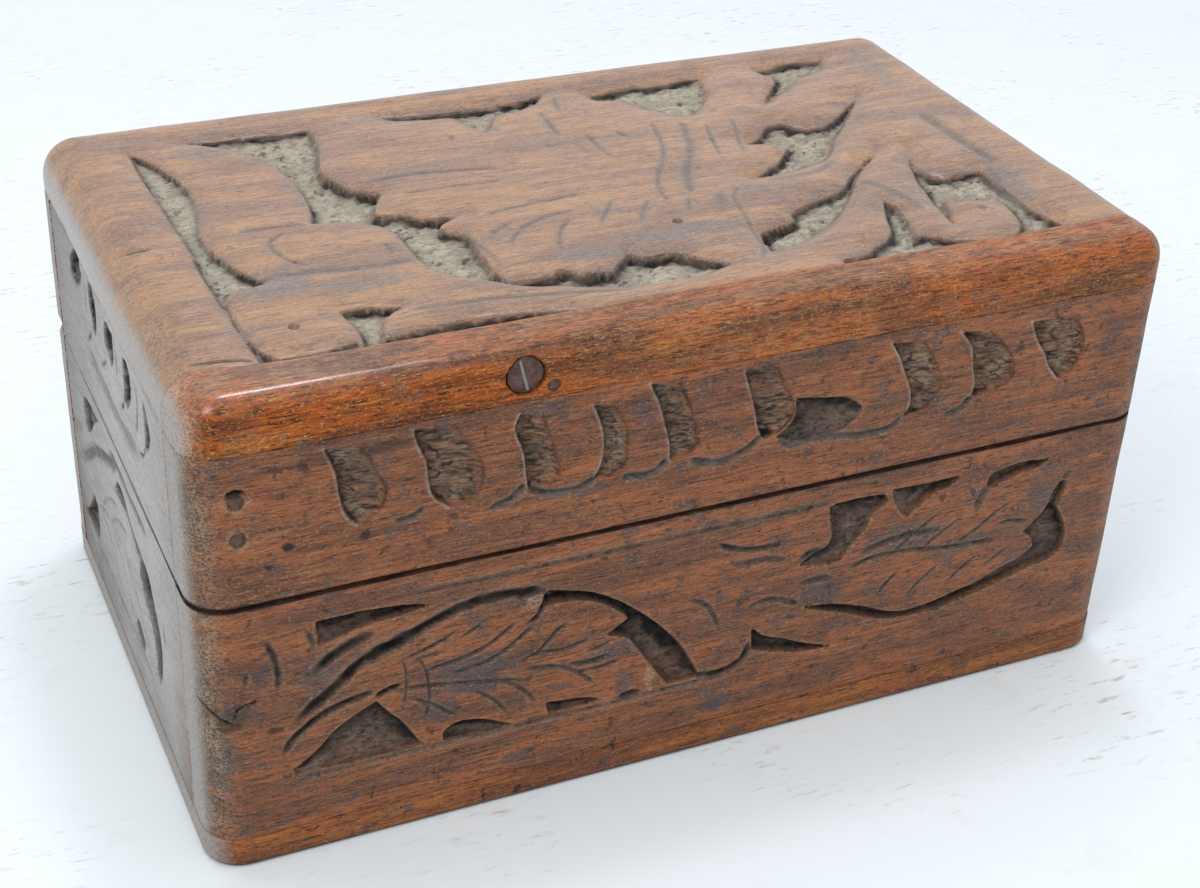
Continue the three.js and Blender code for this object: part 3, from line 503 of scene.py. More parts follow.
def wood(name, along, tones, rough, lacquer):
    """Sheesham whose grain runs along x (0) or y (1). Its tones are hex colours."""
    material = bpy.data.materials.new(name)
    material.use_nodes = True
    tree = material.node_tree
    tree.nodes.clear()
    place = put(tree, "ShaderNodeTexCoord", {}, out="Object")
    cut, grime, worn, stained, ends, handled, bleached_and_sheen, polish = (
        put(tree, "ShaderNodeAttribute", {}, out="Fac", attribute_name=field) for field in marked
    )
    layers = []

    def grain(length, breadth, detail, **shape):
        """Noise in flecks this long and broad, in millimetres."""
        scale = [1000 / breadth] * 3
        scale[along] = 1000 / length
        laid = put(tree, "ShaderNodeMapping", {"Vector": place, "Scale": scale})
        settings = {"Vector": laid, "Scale": 1, "Detail": detail, **shape}
        return put(tree, "ShaderNodeTexNoise", settings)

    # Figure: bands some 4 mm wide that wander along the board, from brown to orange.
    figure = grain(34, 4.2, 6, Distortion=0.6)
    figure = put(
        tree, "ShaderNodeMapRange", {0: figure, 1: 0.35, 2: 0.65}, interpolation_type="SMOOTHSTEP",
    )
    colour = put(
        tree, "ShaderNodeMix", {0: figure, 6: paint(tones["brown"]), 7: paint(tones["warm"])},
        out=2, data_type="RGBA",
    )
    # Over it go the layers. Growth streaks half a millimetre wide, some dark and some pale.
    streak = grain(7, 0.5, 6, Roughness=0.7)
    dark_streak = put(
        tree, "ShaderNodeMapRange", {0: streak, 1: 0.51, 2: 0.62, 4: tones["streaks"]},
        interpolation_type="SMOOTHSTEP",
    )
    layers.append((dark_streak, paint(tones["dark"])))
    pale_streak = put(
        tree, "ShaderNodeMapRange", {0: streak, 1: 0.45, 2: 0.35, 4: 0.5 * tones["specks"]},
        interpolation_type="SMOOTHSTEP",
    )
    layers.append((pale_streak, paint(tones["light"])))
    # Stains of grease and handling, a few millimetres across with ragged edges.
    patch = put(
        tree, "ShaderNodeTexNoise", {"Vector": place, "Scale": 170, "Detail": 9, "Roughness": 0.74},
    )
    film = put(
        tree, "ShaderNodeMapRange",
        {0: patch, 1: 0.54 - tones["spread"], 2: 0.61 - tones["spread"], 4: tones["film"]},
        interpolation_type="SMOOTHSTEP",
    )
    film = put(tree, "ShaderNodeMath", {0: film, 1: handled}, operation="MAXIMUM")
    layers.append((film, paint(tones["veil"])))
    # Open pores, dashes a third of a millimetre wide: some dark, some packed with pale dust.
    pore = grain(2.4, 0.34, 4, Roughness=0.7)
    pores = put(tree, "ShaderNodeMapRange", {0: pore, 1: 0.54, 2: 0.62, 4: tones["pores"]})
    layers.append((pores, paint(tones["pore"])))
    grit = grain(0.7, 0.32, 4, Roughness=0.7)
    packed = put(tree, "ShaderNodeMapRange", {0: grit, 1: 0.55, 2: 0.65, 4: tones["specks"]})
    layers.append((packed, paint(tones["light"])))
    # Black spots one to two millimetres across.
    blot = put(
        tree, "ShaderNodeTexNoise", {"Vector": place, "Scale": 330, "Detail": 5, "Roughness": 0.65},
    )
    blots = put(
        tree, "ShaderNodeMapRange", {0: blot, 1: 0.61, 2: 0.66, 4: tones["spots"]},
        interpolation_type="SMOOTHSTEP",
    )
    blots = put(tree, "ShaderNodeMath", {0: blots, 1: stained}, operation="MAXIMUM")
    layers.append((blots, paint(tones["pore"])))
    # Rims and edges rubbed bare, broken up by the grain.
    bare = put(tree, "ShaderNodeMapRange", {0: grit, 1: 0.4, 2: 0.62, 3: 0.05, 4: 0.9})
    bare = put(tree, "ShaderNodeMath", {0: bare, 1: worn}, operation="MULTIPLY")
    layers.append((bare, paint(tones["rim"])))
    # Fuzzy end grain round the corners: tan, with grey stains in it. On the strip's upper rounding
    # the same tan is partly a painted sheen.
    fuzz = put(
        tree, "ShaderNodeTexNoise", {"Vector": place, "Scale": 1700, "Detail": 5, "Roughness": 0.7},
    )
    fuzzy = put(tree, "ShaderNodeMapRange", {0: fuzz, 1: 0.33, 2: 0.66, 3: 0.15})
    strands = put(
        tree, "ShaderNodeMapRange", {0: pore, 1: 0.58, 2: 0.42}, interpolation_type="SMOOTHSTEP",
    )
    fibre = put(
        tree, "ShaderNodeMix", {0: strands, 6: paint(tones["veil"]), 7: paint(tones["tan"])}, out=2,
        data_type="RGBA",
    )
    tan_fibre_and_sheen = put(tree, "ShaderNodeMapRange", {0: patch, 1: 0.46, 2: 0.56, 3: 0.95, 4: 0.3})
    tan_fibre_and_sheen = put(tree, "ShaderNodeMath", {0: tan_fibre_and_sheen, 1: ends}, operation="MULTIPLY")
    layers.append((tan_fibre_and_sheen, fibre))
    # Sides bleached grey by light and dust, with a painted grey sheen on top of that.
    bleach_and_sheen_share = put(tree, "ShaderNodeMapRange", {0: streak, 1: 0.42, 2: 0.62, 3: 1, 4: 0.6})
    bleach_and_sheen_share = put(tree, "ShaderNodeMath", {0: bleach_and_sheen_share, 1: bleached_and_sheen}, operation="MULTIPLY")
    hoary_sheen_colour = put(
        tree, "ShaderNodeMix", {0: fuzzy, 6: paint(tones["ash"]), 7: paint(tones["bleach_and_sheen"])}, out=2,
        data_type="RGBA",
    )
    layers.append((bleach_and_sheen_share, hoary_sheen_colour))
    # Cut ground: dust over raw wood in the chisel's short strokes, with pits, and black grime where
    # it stopped; the same black paints in the shade of recesses, creases and walls.
    strokes = grain(1.5, 0.7, 6, Roughness=0.72)
    dusty = put(
        tree, "ShaderNodeMapRange", {0: strokes, 1: 0.38, 2: 0.56}, interpolation_type="SMOOTHSTEP",
    )
    settled = put(tree, "ShaderNodeMapRange", {0: patch, 1: 0.44, 2: 0.57, 3: 1, 4: 0.45})
    dusty = put(tree, "ShaderNodeMath", {0: dusty, 1: settled}, operation="MULTIPLY")
    ground = put(
        tree, "ShaderNodeMix", {0: dusty, 6: paint(tones["raw"]), 7: paint(tones["dust"])}, out=2,
        data_type="RGBA",
    )
    pits = put(
        tree, "ShaderNodeMapRange", {0: blot, 1: 0.59, 2: 0.66, 4: tones["pits"]},
        interpolation_type="SMOOTHSTEP",
    )
    ground = put(
        tree, "ShaderNodeMix", {0: pits, 6: ground, 7: paint(tones["soot_and_shade_tone"])}, out=2,
        data_type="RGBA",
    )
    thick = put(tree, "ShaderNodeMath", {0: cut, 1: tones["cover"]}, operation="MULTIPLY")
    layers.append((thick, ground))
    # Grime and painted shade: near-black in recesses, grooves, pits, joints and along the seams.
    soot_and_shade_share = put(tree, "ShaderNodeMapRange", {0: patch, 1: 0.65, 2: 0.35, 3: 0.7, 4: 1.2})
    soot_and_shade_share = put(tree, "ShaderNodeMath", {0: soot_and_shade_share, 1: grime}, operation="MULTIPLY", use_clamp=True)
    layers.append((soot_and_shade_share, paint(tones["soot_and_shade_tone"])))
    for share, laid in layers:
        colour = put(tree, "ShaderNodeMix", {0: share, 6: colour, 7: laid}, out=2, data_type="RGBA")
    # Gloss: rubbed on the face, dull in the cuts.
    dull = put(tree, "ShaderNodeMath", {0: cut, 1: ends}, operation="MAXIMUM")
    dull = put(tree, "ShaderNodeMath", {0: dull, 1: grime}, operation="MAXIMUM")
    coat = put(tree, "ShaderNodeMapRange", {0: dull, 3: lacquer, 4: 0})
    coat = put(tree, "ShaderNodeMath", {0: coat, 1: polish}, operation="MAXIMUM")
    shine = put(
        tree, "ShaderNodeMapRange", {0: patch, 1: 0.35, 2: 0.65, 3: rough - 0.08, 4: rough + 0.14},
    )
    shine = put(tree, "ShaderNodeMix", {0: dull, 2: shine, 3: 0.9})
    # Relief: pores and fibres a few hundredths of a millimetre deep.
    lumps = put(tree, "ShaderNodeMath", {0: pore, 1: 0.6}, operation="MULTIPLY")
    lumps = put(tree, "ShaderNodeMath", {0: streak, 1: 0.8, 2: lumps}, operation="MULTIPLY_ADD")
    lumps = put(tree, "ShaderNodeMath", {0: fuzz, 1: 0.8, 2: lumps}, operation="MULTIPLY_ADD")
    rugged = put(tree, "ShaderNodeMath", {0: cut, 1: 3, 2: 0.6}, operation="MULTIPLY_ADD")
    lumps = put(tree, "ShaderNodeMath", {0: strokes, 1: rugged, 2: lumps}, operation="MULTIPLY_ADD")
    relief = put(
        tree, "ShaderNodeBump", {"Strength": 0.7, "Distance": 0.0004, "Height": lumps}, invert=True
    )
    body = put(
        tree,
        "ShaderNodeBsdfPrincipled",
        {
            "Base Color": colour,
            "Roughness": shine,
            "Normal": relief,
            "IOR": 1.5,
            "Specular IOR Level": tones["gloss"],
            "Coat Weight": coat,
            "Coat Roughness": 0.6 * rough,
            "Sheen Weight": tones["bloom"],
            "Sheen Roughness": 0.4,
            "Sheen Tint": paint("#ECEDF0"),
        },
    )
    put(tree, "ShaderNodeOutputMaterial", {0: body})
    return material


# Rosewood brown with orange showing through a grey film: oiled once, and handled for decades.
case_tones = {
    "brown": "#70442C", "warm": "#9C5A32", "dark": "#38221A", "pore": "#1A100C",
    "light": "#D0AC80", "veil": "#454448", "streaks": 0.65, "film": 0.62, "spread": 0,
    "pores": 0.8, "specks": 0.32, "spots": 0.65, "rim": "#B79C7C", "tan": "#A68C6C",
    "ash": "#95938F", "bleach_and_sheen": "#B8B6B2", "raw": "#302A24", "dust": "#90867A", "pits": 0.6,
    "cover": 0.85, "soot_and_shade_tone": "#110C0A", "bloom": 0.03, "gloss": 0.3,
}
long_wood = wood("sheesham_long_grain", 0, case_tones, rough=0.44, lacquer=0.05)

# The case's outer faces, the centres of its round corners, the boards' inner faces and half the
# width of an end board, in mm.
half_length, half_depth = 90, 54.2
corner_x, corner_y, corner_radius = 83.2, 47.4, 6.8
inner_x, inner_y, end_half = 79.0, 43.2, 43.1
corner_arc = corner_radius * math.pi / 2
board_end = corner_x + corner_arc + 4.2


def case_front(at, down):
    """Lays a long board's sheet over its face, round corners and ends, sunk by so much."""
    s, z = at.T
    turn = np.clip((np.abs(s) - corner_x) / corner_radius, 0, math.pi / 2)
    past = np.maximum(np.abs(s) - corner_x - corner_arc, 0)
    x = np.minimum(np.abs(s), corner_x) + (corner_radius - down) * np.sin(turn)
    y = -corner_y - (corner_radius - down) * np.cos(turn) + past
    return np.stack([np.sign(s) * x, y, z], 1)


def case_inside(at):
    """The inner face behind a long board's sheet."""
    return np.stack([half_length * at[:, 0] / board_end, np.full(len(at), -inner_y), at[:, 1]], 1)


def hand_worn(at, low, high, seed, seam_low=0.2, seam_high=0.2):
    """The slow unevenness of a hand-planed face, and its edges worn round."""
    uneven = 0.07 * (1 + mottle(at, (23, 11), seed)) + 0.03 * (1 + mottle(at, (5, 3.5), seed + 1))
    nick = 1 + 0.5 * mottle(at, (3.1, 3.1), seed + 2) + 0.3 * mottle(at, (0.9, 0.9), seed + 3)
    under = round_over(at[:, 1] - low, seam_low) * nick
    upper = round_over(high - at[:, 1], seam_high) * nick
    return uneven + np.clip(under, 0, 1.5) + np.clip(upper, 0, 1.5)


leaf_marks = [
    # the wedge above the left leaf, and the slope below it
    pocket(
        [(-70.5, 47.8), (-62, 47.8), (-54, 47), (-51, 46)],
        [(-56, 45.2), (-62, 44.7), (-66, 43.6), (-70.2, 42.3)],
        deep=2.1, shallow=0.5, fall=((-62, 47.5), (-63, 43.2)), grime=0.95, seed=11,
    ),
    groove(
        (-71.5, 36.8), (-69, 39), (-65, 41.2), (-60, 43.2),
        wide=1.8, deep=0.9, grime=0.9, lean=0.4,
    ),
    # the long lines over its back
    groove(
        (-77, 21.5), (-75, 25), (-70, 28.6), (-65, 30.3), (-60, 31),
        wide=1.3, deep=0.7, grime=0.9,
    ),
    groove(
        *[(-75.5, 27.6), (-70, 31.6), (-66, 34.8), (-62, 37.9), (-56, 40), (-50, 42.4)],
        *[(-44, 44.2), (-38, 44.5), (-33, 43.9), (-30, 43.2)],
        wide=1.9, deep=1.1, grime=1, ends=(6, 3), lean=0.25,
    ),
    groove(
        (-65, 36.3), (-62, 37.5), (-57, 39.3), (-51, 41.6),
        wide=2.6, deep=1.6, grime=1, ends=(5, 5), lean=0.35,
    ),
    groove((-60.8, 29.8), (-58.5, 30.6), (-56, 31.1), wide=1.1, deep=0.8, grime=1, ends=(1, 1)),
    # the sunk triangle at its foot
    pocket(
        [(-75.3, 18.5), (-71, 21.5), (-67.5, 25), (-63, 27.6), (-60.5, 28.8)],
        [(-58.5, 26), (-56, 23), (-53, 18)],
        [(-53.3, 17), (-65, 16.8), (-75, 17.2)],
        deep=2.2, shallow=0.5, fall=((-62, 27), (-66, 17.5)), grime=0.35, seed=12,
    ),
    # the crescent round its end
    pocket(
        [(-30.2, 43.7), (-27, 42.8), (-22, 41.2), (-17, 38.2), (-12, 34), (-8, 30), (-4, 25),
         (-1.5, 20.5), (0.3, 16.8)],
        [(-6.3, 16.8)],
        [(-7.5, 18.5), (-10.5, 23), (-13, 27), (-14.5, 29.4)],
        [(-19, 31.2)],
        [(-14.8, 33.8)],
        [(-17, 36), (-21, 38.8), (-26, 40.2), (-31, 40.4)],
        deep=2.4, shallow=1.2, fall=((-16, 36), (-16, 24)), grime=0.95, rough=0.24, seed=13,
    ),
    groove(
        (-30.3, 43.4), (-30.8, 41), (-32, 38.8), (-34.5, 37.2),
        wide=1.0, deep=0.7, grime=0.9, ends=(1, 3),
    ),
    stain(-10, 22, 1.0, 5.5, 0.7, field="worn"),
    # small wedges under it
    pocket(
        [(-48.8, 16.5), (-48.6, 18.7), (-46, 20.1), (-42, 19.5), (-38, 17.7), (-35, 16.2)],
        deep=1.9, shallow=0.4, fall=((-43, 20), (-42, 16.4)), grime=1, seed=14,
    ),
    pocket(
        [(-30, 19.6), (-26, 19), (-22, 18.4), (-18.7, 17)],
        [(-22, 16.6), (-29.3, 16.7)],
        deep=1.8, shallow=0.5, fall=((-25, 19.5), (-25, 16.7)), grime=1, seed=15,
    ),
    groove((-16.5, 16.4), (-13.5, 16.9), (-11, 16.6), wide=1.5, deep=0.8, grime=0.8, ends=(2, 2)),
    # veins of the left leaf
    *[
        groove(*points, wide=wide, deep=deep, grime=grime)
        for wide, deep, grime, *points in (
            (0.9, 0.35, 0.5, (-58, 29.9), (-53, 29.8), (-47, 28.7), (-41, 27.5), (-33, 25.6)),
            (0.7, 0.35, 0.5, (-57, 36), (-53, 36.9), (-49, 38.3), (-45.5, 40.2)),
            (0.7, 0.35, 0.5, (-55.5, 34.9), (-51, 35.8), (-47.5, 36)),
            (0.7, 0.3, 0.5, (-46.5, 37.6), (-43, 39.4), (-40.5, 41.3)),
            (0.8, 0.4, 0.6, (-53, 32.7), (-46, 33.6), (-41, 35), (-37.5, 37.3), (-35, 39.2)),
            (0.9, 0.45, 0.6, (-48, 30.8), (-42, 31.5), (-38, 33), (-35, 35.2), (-31.5, 37.9)),
            (0.8, 0.4, 0.6, (-36, 29.8), (-32, 31), (-29.8, 33), (-28, 35), (-25, 36.3)),
            (0.7, 0.35, 0.5, (-34.8, 30.1), (-31, 30.9), (-27, 30.5), (-24, 31), (-20.5, 31.9)),
            (0.9, 0.4, 0.6, (-23.5, 28.7), (-20, 29.1), (-17, 30.4)),
            (1.1, 0.5, 0.7, (-27, 27), (-22, 26.4), (-17, 27)),
            (0.8, 0.4, 0.6, (-26, 25), (-20, 24.6), (-14.5, 25.6)),
            (0.8, 0.35, 0.5, (-35, 28.2), (-29, 27.4), (-25, 25.5), (-22.3, 23), (-20.3, 20.5)),
            (0.8, 0.35, 0.5, (-39.5, 27.5), (-35.5, 25), (-33, 22.2), (-31.4, 19.6)),
            (0.7, 0.3, 0.5, (-44, 26.5), (-40.5, 24), (-38, 21), (-36.5, 18.5)),
            (0.7, 0.35, 0.5, (-55.5, 28.3), (-51, 25.6), (-48, 23), (-45.5, 21)),
            (0.6, 0.3, 0.5, (-54, 37), (-52, 33.5), (-51.3, 29.5), (-51.4, 25.5), (-52.3, 21.5)),
            (0.5, 0.25, 0.4, (-56, 37.5), (-55.3, 33), (-55.5, 28.5), (-56.3, 25.5)),
        )
    ],
    *[
        stain(*spot, field="film")
        for spot in (
            (-43, 28, 5, 2.2, 0.9, 5),
            (-44, 31, 9, 3.5, 0.7, 21),
            (-50, 24, 4, 3, 0.6, 22),
            (-70, 37, 4, 4, 0.6, 23),
            (-17, 28, 6, 1.8, 0.7, 29),
            (-15, 20, 2, 3, 0.7, 30),
            (-35, 9, 3.5, 1.4, 0.7, 34),
            (4, 10, 2.5, 1.6, 0.8, 35),
        )
    ],
    stain(-32.5, 42, 2.5, 1.6, 0.8, field="worn"),
    # stem and bud between the leaves
    groove(
        (-0.5, 17.3), (3, 16.5), (6.5, 17.2), (9, 19), (10, 22.5),
        wide=1.5, deep=0.9, grime=0.85, ends=(1, 2),
    ),
    pocket(
        [(10, 25.4), (12.5, 22.7), (17, 20.7), (22, 18.3), (28.5, 16)],
        [(22, 16.5), (16, 18), (10.4, 19.9)],
        deep=2.0, grime=0.7, seed=16,
    ),
    groove((1, 45.8), (4.5, 43.8), (9, 42.5), (14.5, 42.3), wide=1.1, deep=0.6, grime=0.7),
    groove((-4, 35), (0, 33), (2, 30), (3.3, 26.5), wide=0.9, deep=0.35, grime=0.45),
    groove((4, 41.5), (6, 40), (12, 39.6), (17, 38), wide=1.4, deep=0.4, grime=0.5),
    groove((8, 29.5), (13, 30.6), (18, 28.7), (20.3, 27), wide=1.1, deep=0.35, grime=0.45),
    # the forked recess before the right leaf
    pocket(
        [(24.3, 48.3), (30, 48.4), (35, 48)],
        [(35.8, 46), (33, 44.3), (31.5, 41), (29, 38), (27.5, 35.3)],
        [(23, 35.4), (18.3, 36.2)],
        [(20, 37.8), (23.6, 39.4), (24.8, 42), (24.3, 48.3)],
        deep=1.7, shallow=0.7, fall=((27, 48), (27, 38)), grime=0.5, rough=0.3, seed=17,
    ),
    groove((17.5, 37.4), (21, 38.8), (24.5, 38.7), wide=1.4, deep=0.6, grime=0.8),
    groove((18, 32.4), (22.5, 32.6), (27, 32), wide=1.3, deep=0.45, grime=0.6),
    groove((24, 48.3), (24.4, 45), (25, 42), wide=0.8, deep=0.9, grime=0.6, ends=(1, 1)),
    pocket(
        [(36.2, 48.6), (44, 48.4), (50.5, 48.4)],
        [(49, 46.8), (45, 45.6), (42.5, 43.5), (40.5, 41.5)],
        [(38.5, 43.2), (37, 46)],
        deep=2.1, shallow=0.5, fall=((45, 48), (40.5, 43)), grime=0.6, seed=18,
    ),
    pocket(
        [(56.8, 44.3), (57.4, 47), (61, 48), (65, 48.4), (70, 47.8)],
        [(68, 46.6), (63, 45.7), (58, 44.2)],
        deep=2.2, shallow=1.2, fall=((62, 48), (62, 45)), grime=0.8, seed=19,
    ),
    groove((57, 45), (55.6, 42), (55, 38.5), wide=1.8, deep=0.4, grime=0.35, ends=(1, 3)),
    groove((52, 46.5), (54, 44), (55.5, 41), wide=1.0, deep=0.3, grime=0.35),
    # the groove under the right leaf, widening to a hollow round its end
    pocket(
        [(20.3, 26.6), (25, 24.8), (30, 23), (35, 20.6), (40, 19.2), (45, 18.8), (50, 18.9),
         (55, 19.8), (60, 20.7), (65, 22), (69, 23.6)],
        [(73, 23.9), (76, 25.5), (77, 29), (75.8, 33), (73.8, 36.5)],
        [(75, 39.5), (75, 42)],
        [(73.5, 42), (72.3, 40), (71.3, 36.8), (69, 34.2), (66.8, 32.2)],
        [(69, 30.4), (69.8, 28.2)],
        [(67, 26.4), (63, 24.9), (58, 23), (53, 21.9), (47, 20.6), (42, 20.4), (38, 21.5),
         (34, 23.4), (30, 25), (25, 26.3), (20.3, 26.9)],
        deep=2.3, shallow=1.5, fall=((40, 20), (75, 34)), grime=0.7, seed=20,
    ),
    # veins of the right leaf
    *[
        groove(*points, wide=wide, deep=deep, grime=grime)
        for wide, deep, grime, *points in (
            (1.3, 0.4, 0.55, (30, 35.8), (36, 37.4), (42, 37.9), (48.5, 37.3)),
            (0.9, 0.4, 0.5, (28.5, 33), (34, 34.6), (41, 34.4), (48, 33.2), (56, 32.3), (62, 31.8)),
            (0.9, 0.35, 0.5, (52, 33.2), (56.5, 32.4), (61, 32.6)),
            (0.9, 0.4, 0.6, (60, 35.8), (64, 35.5), (68, 34.6)),
            (0.7, 0.3, 0.45, (36, 33), (40, 36), (44.5, 39.5), (48, 41.6)),
            (0.7, 0.3, 0.45, (44, 33.8), (48, 36.5), (53, 39.5)),
            (0.7, 0.3, 0.45, (51, 32.8), (55, 35), (60, 38.5), (64, 40.5)),
            (0.8, 0.35, 0.5, (35.5, 24.8), (37.2, 27.5), (40.5, 30.5)),
            (0.7, 0.3, 0.45, (42, 23.5), (45, 26.5), (49.5, 30)),
            (0.7, 0.3, 0.45, (50.5, 24), (53.5, 26.8), (57.5, 29.8)),
            (0.7, 0.3, 0.45, (58, 25.6), (61, 27.8), (65, 30)),
        )
    ],
    stain(54, 27.8, 2.8, 1.0, 0.5, seed=6),
    stain(40, 37.5, 9, 3, 0.75, seed=7, field="film"),
    stain(52, 33, 8, 2, 0.6, seed=36, field="film"),
    stain(24, 29.5, 5, 2.5, 0.6, seed=37, field="film"),
    stain(70, 40, 4, 4, 0.7, seed=38, field="film"),
    # border lines, and strokes beside the left leaf
    groove(
        (-55, 48.9), (-30, 48.7), (-5, 48.6), (24, 48.6),
        wide=0.9, deep=0.25, grime=0.35, lean=0.6,
    ),
    groove(
        (-75, 16.7), (-50, 16.4), (-20, 16.1), (8, 16.1),
        wide=0.8, deep=0.22, grime=0.3, lean=-0.6,
    ),
    groove((-79.2, 47), (-77.6, 43.3), (-76.9, 39), (-77.3, 35.2), wide=1.1, deep=0.6, grime=0.7),
    groove((-82.1, 41), (-82.4, 38), wide=0.8, deep=0.3, grime=0.5, ends=(1, 1)),
    groove((-72.5, 47.6), (-71.2, 44.5), (-70.6, 41.5), wide=1.0, deep=0.35, grime=0.5),
    groove((75.5, 44.5), (74.4, 43), (73.8, 41), wide=1.6, deep=0.5, grime=0.4),
    stain(-77.8, 27.9, 1.6, 0.6, 0.8, seed=8),
    stain(-83.8, 33.2, 2.4, 2.0, 0.5, seed=9),
]
nailed_marks = [
    stain(-82, 32.5, 2.2, 1.8, 0.55, seed=24, field="film"),
    stain(-90.5, 40, 3, 7, 0.8, seed=25, field="film"),
    stain(-89, 24, 4, 8, 0.85, seed=26, field="film"),
    stain(-91, 12, 3, 4, 0.6, seed=27, field="film"),
    stain(-86, 30.5, 2.5, 1.2, 0.7, seed=28),
    groove(
        (-84.3, 31.9), (-83.9, 33.7), (-80.6, 34.7),
        wide=0.5, deep=0.5, grime=1, ends=(0.5, 0.5),
    ),
    groove(
        (-91.25, 35.5), (-88, 33), (-86.2, 31.6), (-84.8, 31.2),
        wide=0.5, deep=0.7, grime=1, ends=(1, 1),
    ),
]


def case_fields(at, rim, marks, dusty_and_sheened_end):
    """The marks, and the fuzzy ends, grey with dust and painted sheen, far more on the object's
    left end.
    """
    fields = carve(at, rim, marks)
    s = np.abs(at[:, 0])
    share = np.where(at[:, 0] * dusty_and_sheened_end > 0, 1, 0.35)
    fields["tan"] = np.maximum(fields["tan"], 0.9 * fade(s, 84, 89) * share)
    # Bleached grey with a painted sheen round the ends.
    fields["bleach_and_sheen"] = np.maximum(fields["bleach_and_sheen"], 0.9 * fade(s, 89, 93) * share)
    return fields


def seam_shadow(fields, at, gap, near, wide, uneven, seed):
    """Painted shadow along the seam, wider towards the left end."""
    shadow = near + wide * fade(-at[:, 0], 20, 90) + uneven * mottle(at, (9, 9), seed)
    fields["grime"] = np.maximum(fields["grime"], fade(gap, shadow + 0.15, shadow - 0.15))


base_low, base_high = 6.02, 53.2
base_across = ticks((-board_end, -84, 0.46), (-84, 84, 0.34), (84, board_end, 0.46))
base_up = ticks((base_low, 6.7, 0.2), (6.7, 52.2, 0.355), (52.2, base_high, 0.2))
mesh, at, rim = sheet(base_across, base_up)
fields = case_fields(at, rim, leaf_marks + nailed_marks, -1)
worn_in = fields["down"] + hand_worn(at, base_low, base_high, 31, seam_low=0.02, seam_high=0.3)
worn_in *= fade(board_end - np.abs(at[:, 0]), 0, 0.6)
seam_shadow(fields, at, base_high - at[:, 1], near=0.3, wide=0.15, uneven=0.12, seed=33)
board(
    "front_leaf_board", mesh, case_front(at, worn_in), case_inside(at), fields, long_wood, "base",
    "base_front_board", "case_wood",
)

# The back board is the same pattern turned round. Its top edge is chamfered, and hollowed for the
# two hinge knuckles, whose axis lies 1.8 mm inside the back.
hinge_x, hinge_z, axis_in = 55, 53.45, 1.8


def hinge_room(at):
    """How far the back of the seam is cut away at a height, for the chamfer and the knuckles."""
    rise = np.abs(at[:, 1] - hinge_z)
    room = np.clip(axis_in - rise / math.tan(math.radians(51)), 0, axis_in)
    knuckle = np.abs(np.abs(at[:, 0]) - hinge_x) < 13.3
    return np.where(knuckle & (rise < 2), axis_in + np.sqrt(np.maximum(4 - rise**2, 0)), room)


def half_turn(points):
    """The points turned half round the vertical axis."""
    return points * [-1, -1, 1]


across = ticks((-board_end, -84, 0.6), (-84, 84, 0.45), (84, board_end, 0.6))
up = ticks((base_low, 50.8, 0.46), (50.8, base_high, 0.2))
mesh, at, rim = sheet(across, up)
fields = case_fields(at, rim, leaf_marks, 1)
worn_in = fields["down"] + hand_worn(at, base_low, base_high, 41)
worn_in = np.maximum(worn_in * fade(board_end - np.abs(at[:, 0]), 0, 0.6), hinge_room(at))
worn_in[np.abs(at[:, 0]) > board_end - 0.5] = 0
board(
    "back_leaf_board", mesh, half_turn(case_front(at, worn_in)), half_turn(case_inside(at)), fields,
    long_wood, "base", "base_back_board", "case_wood",
)

# Base, end boards
# Boards of the same wood, set between the long ones, with one leaf, a grey bloom on their faces
# that is partly a painted sheen, and a fine open joint at each side.
end_tones = {
    **case_tones, "veil": "#6E6A64", "spread": 0.03, "tan": "#A5927A", "ash": "#969592",
    "bleach_and_sheen": "#C4C4C2", "rim": "#B8AFA4", "bloom": 0.04, "gloss": 0.3,
}
end_wood = wood("sheesham_end_boards", 1, end_tones, rough=0.5, lacquer=0.05)


def end_fields(at, rim, marks, side):
    """The marks, and a bleached face with a painted sheen, darker towards its back and its foot."""
    fields = carve(at, rim, marks, 0.4)
    u, z = at.T
    share = 1 if side < 0 else 0.6
    fields["tan"] = 0.8 * fade(np.abs(u), 26, 42)
    browner = 0.5 * fade(np.abs(u), 30, 43) * (0.3 + 0.7 * fade(-z, -48, -12))
    # Bleached grey with a painted sheen, less near the edges and low down, and less on the right
    # end.
    fields["bleach_and_sheen"] = share * (0.95 - browner)
    # The face grows darker towards its back and its foot.
    back_and_foot_darkening = 0.26 * fade(-u, -8, 36) + 0.2 * fade(-z, -30, -6) + 0.05 * (1 + mottle(at, (7, 5), 64))
    fields["grime"] = np.maximum(fields["grime"], back_and_foot_darkening)
    return fields


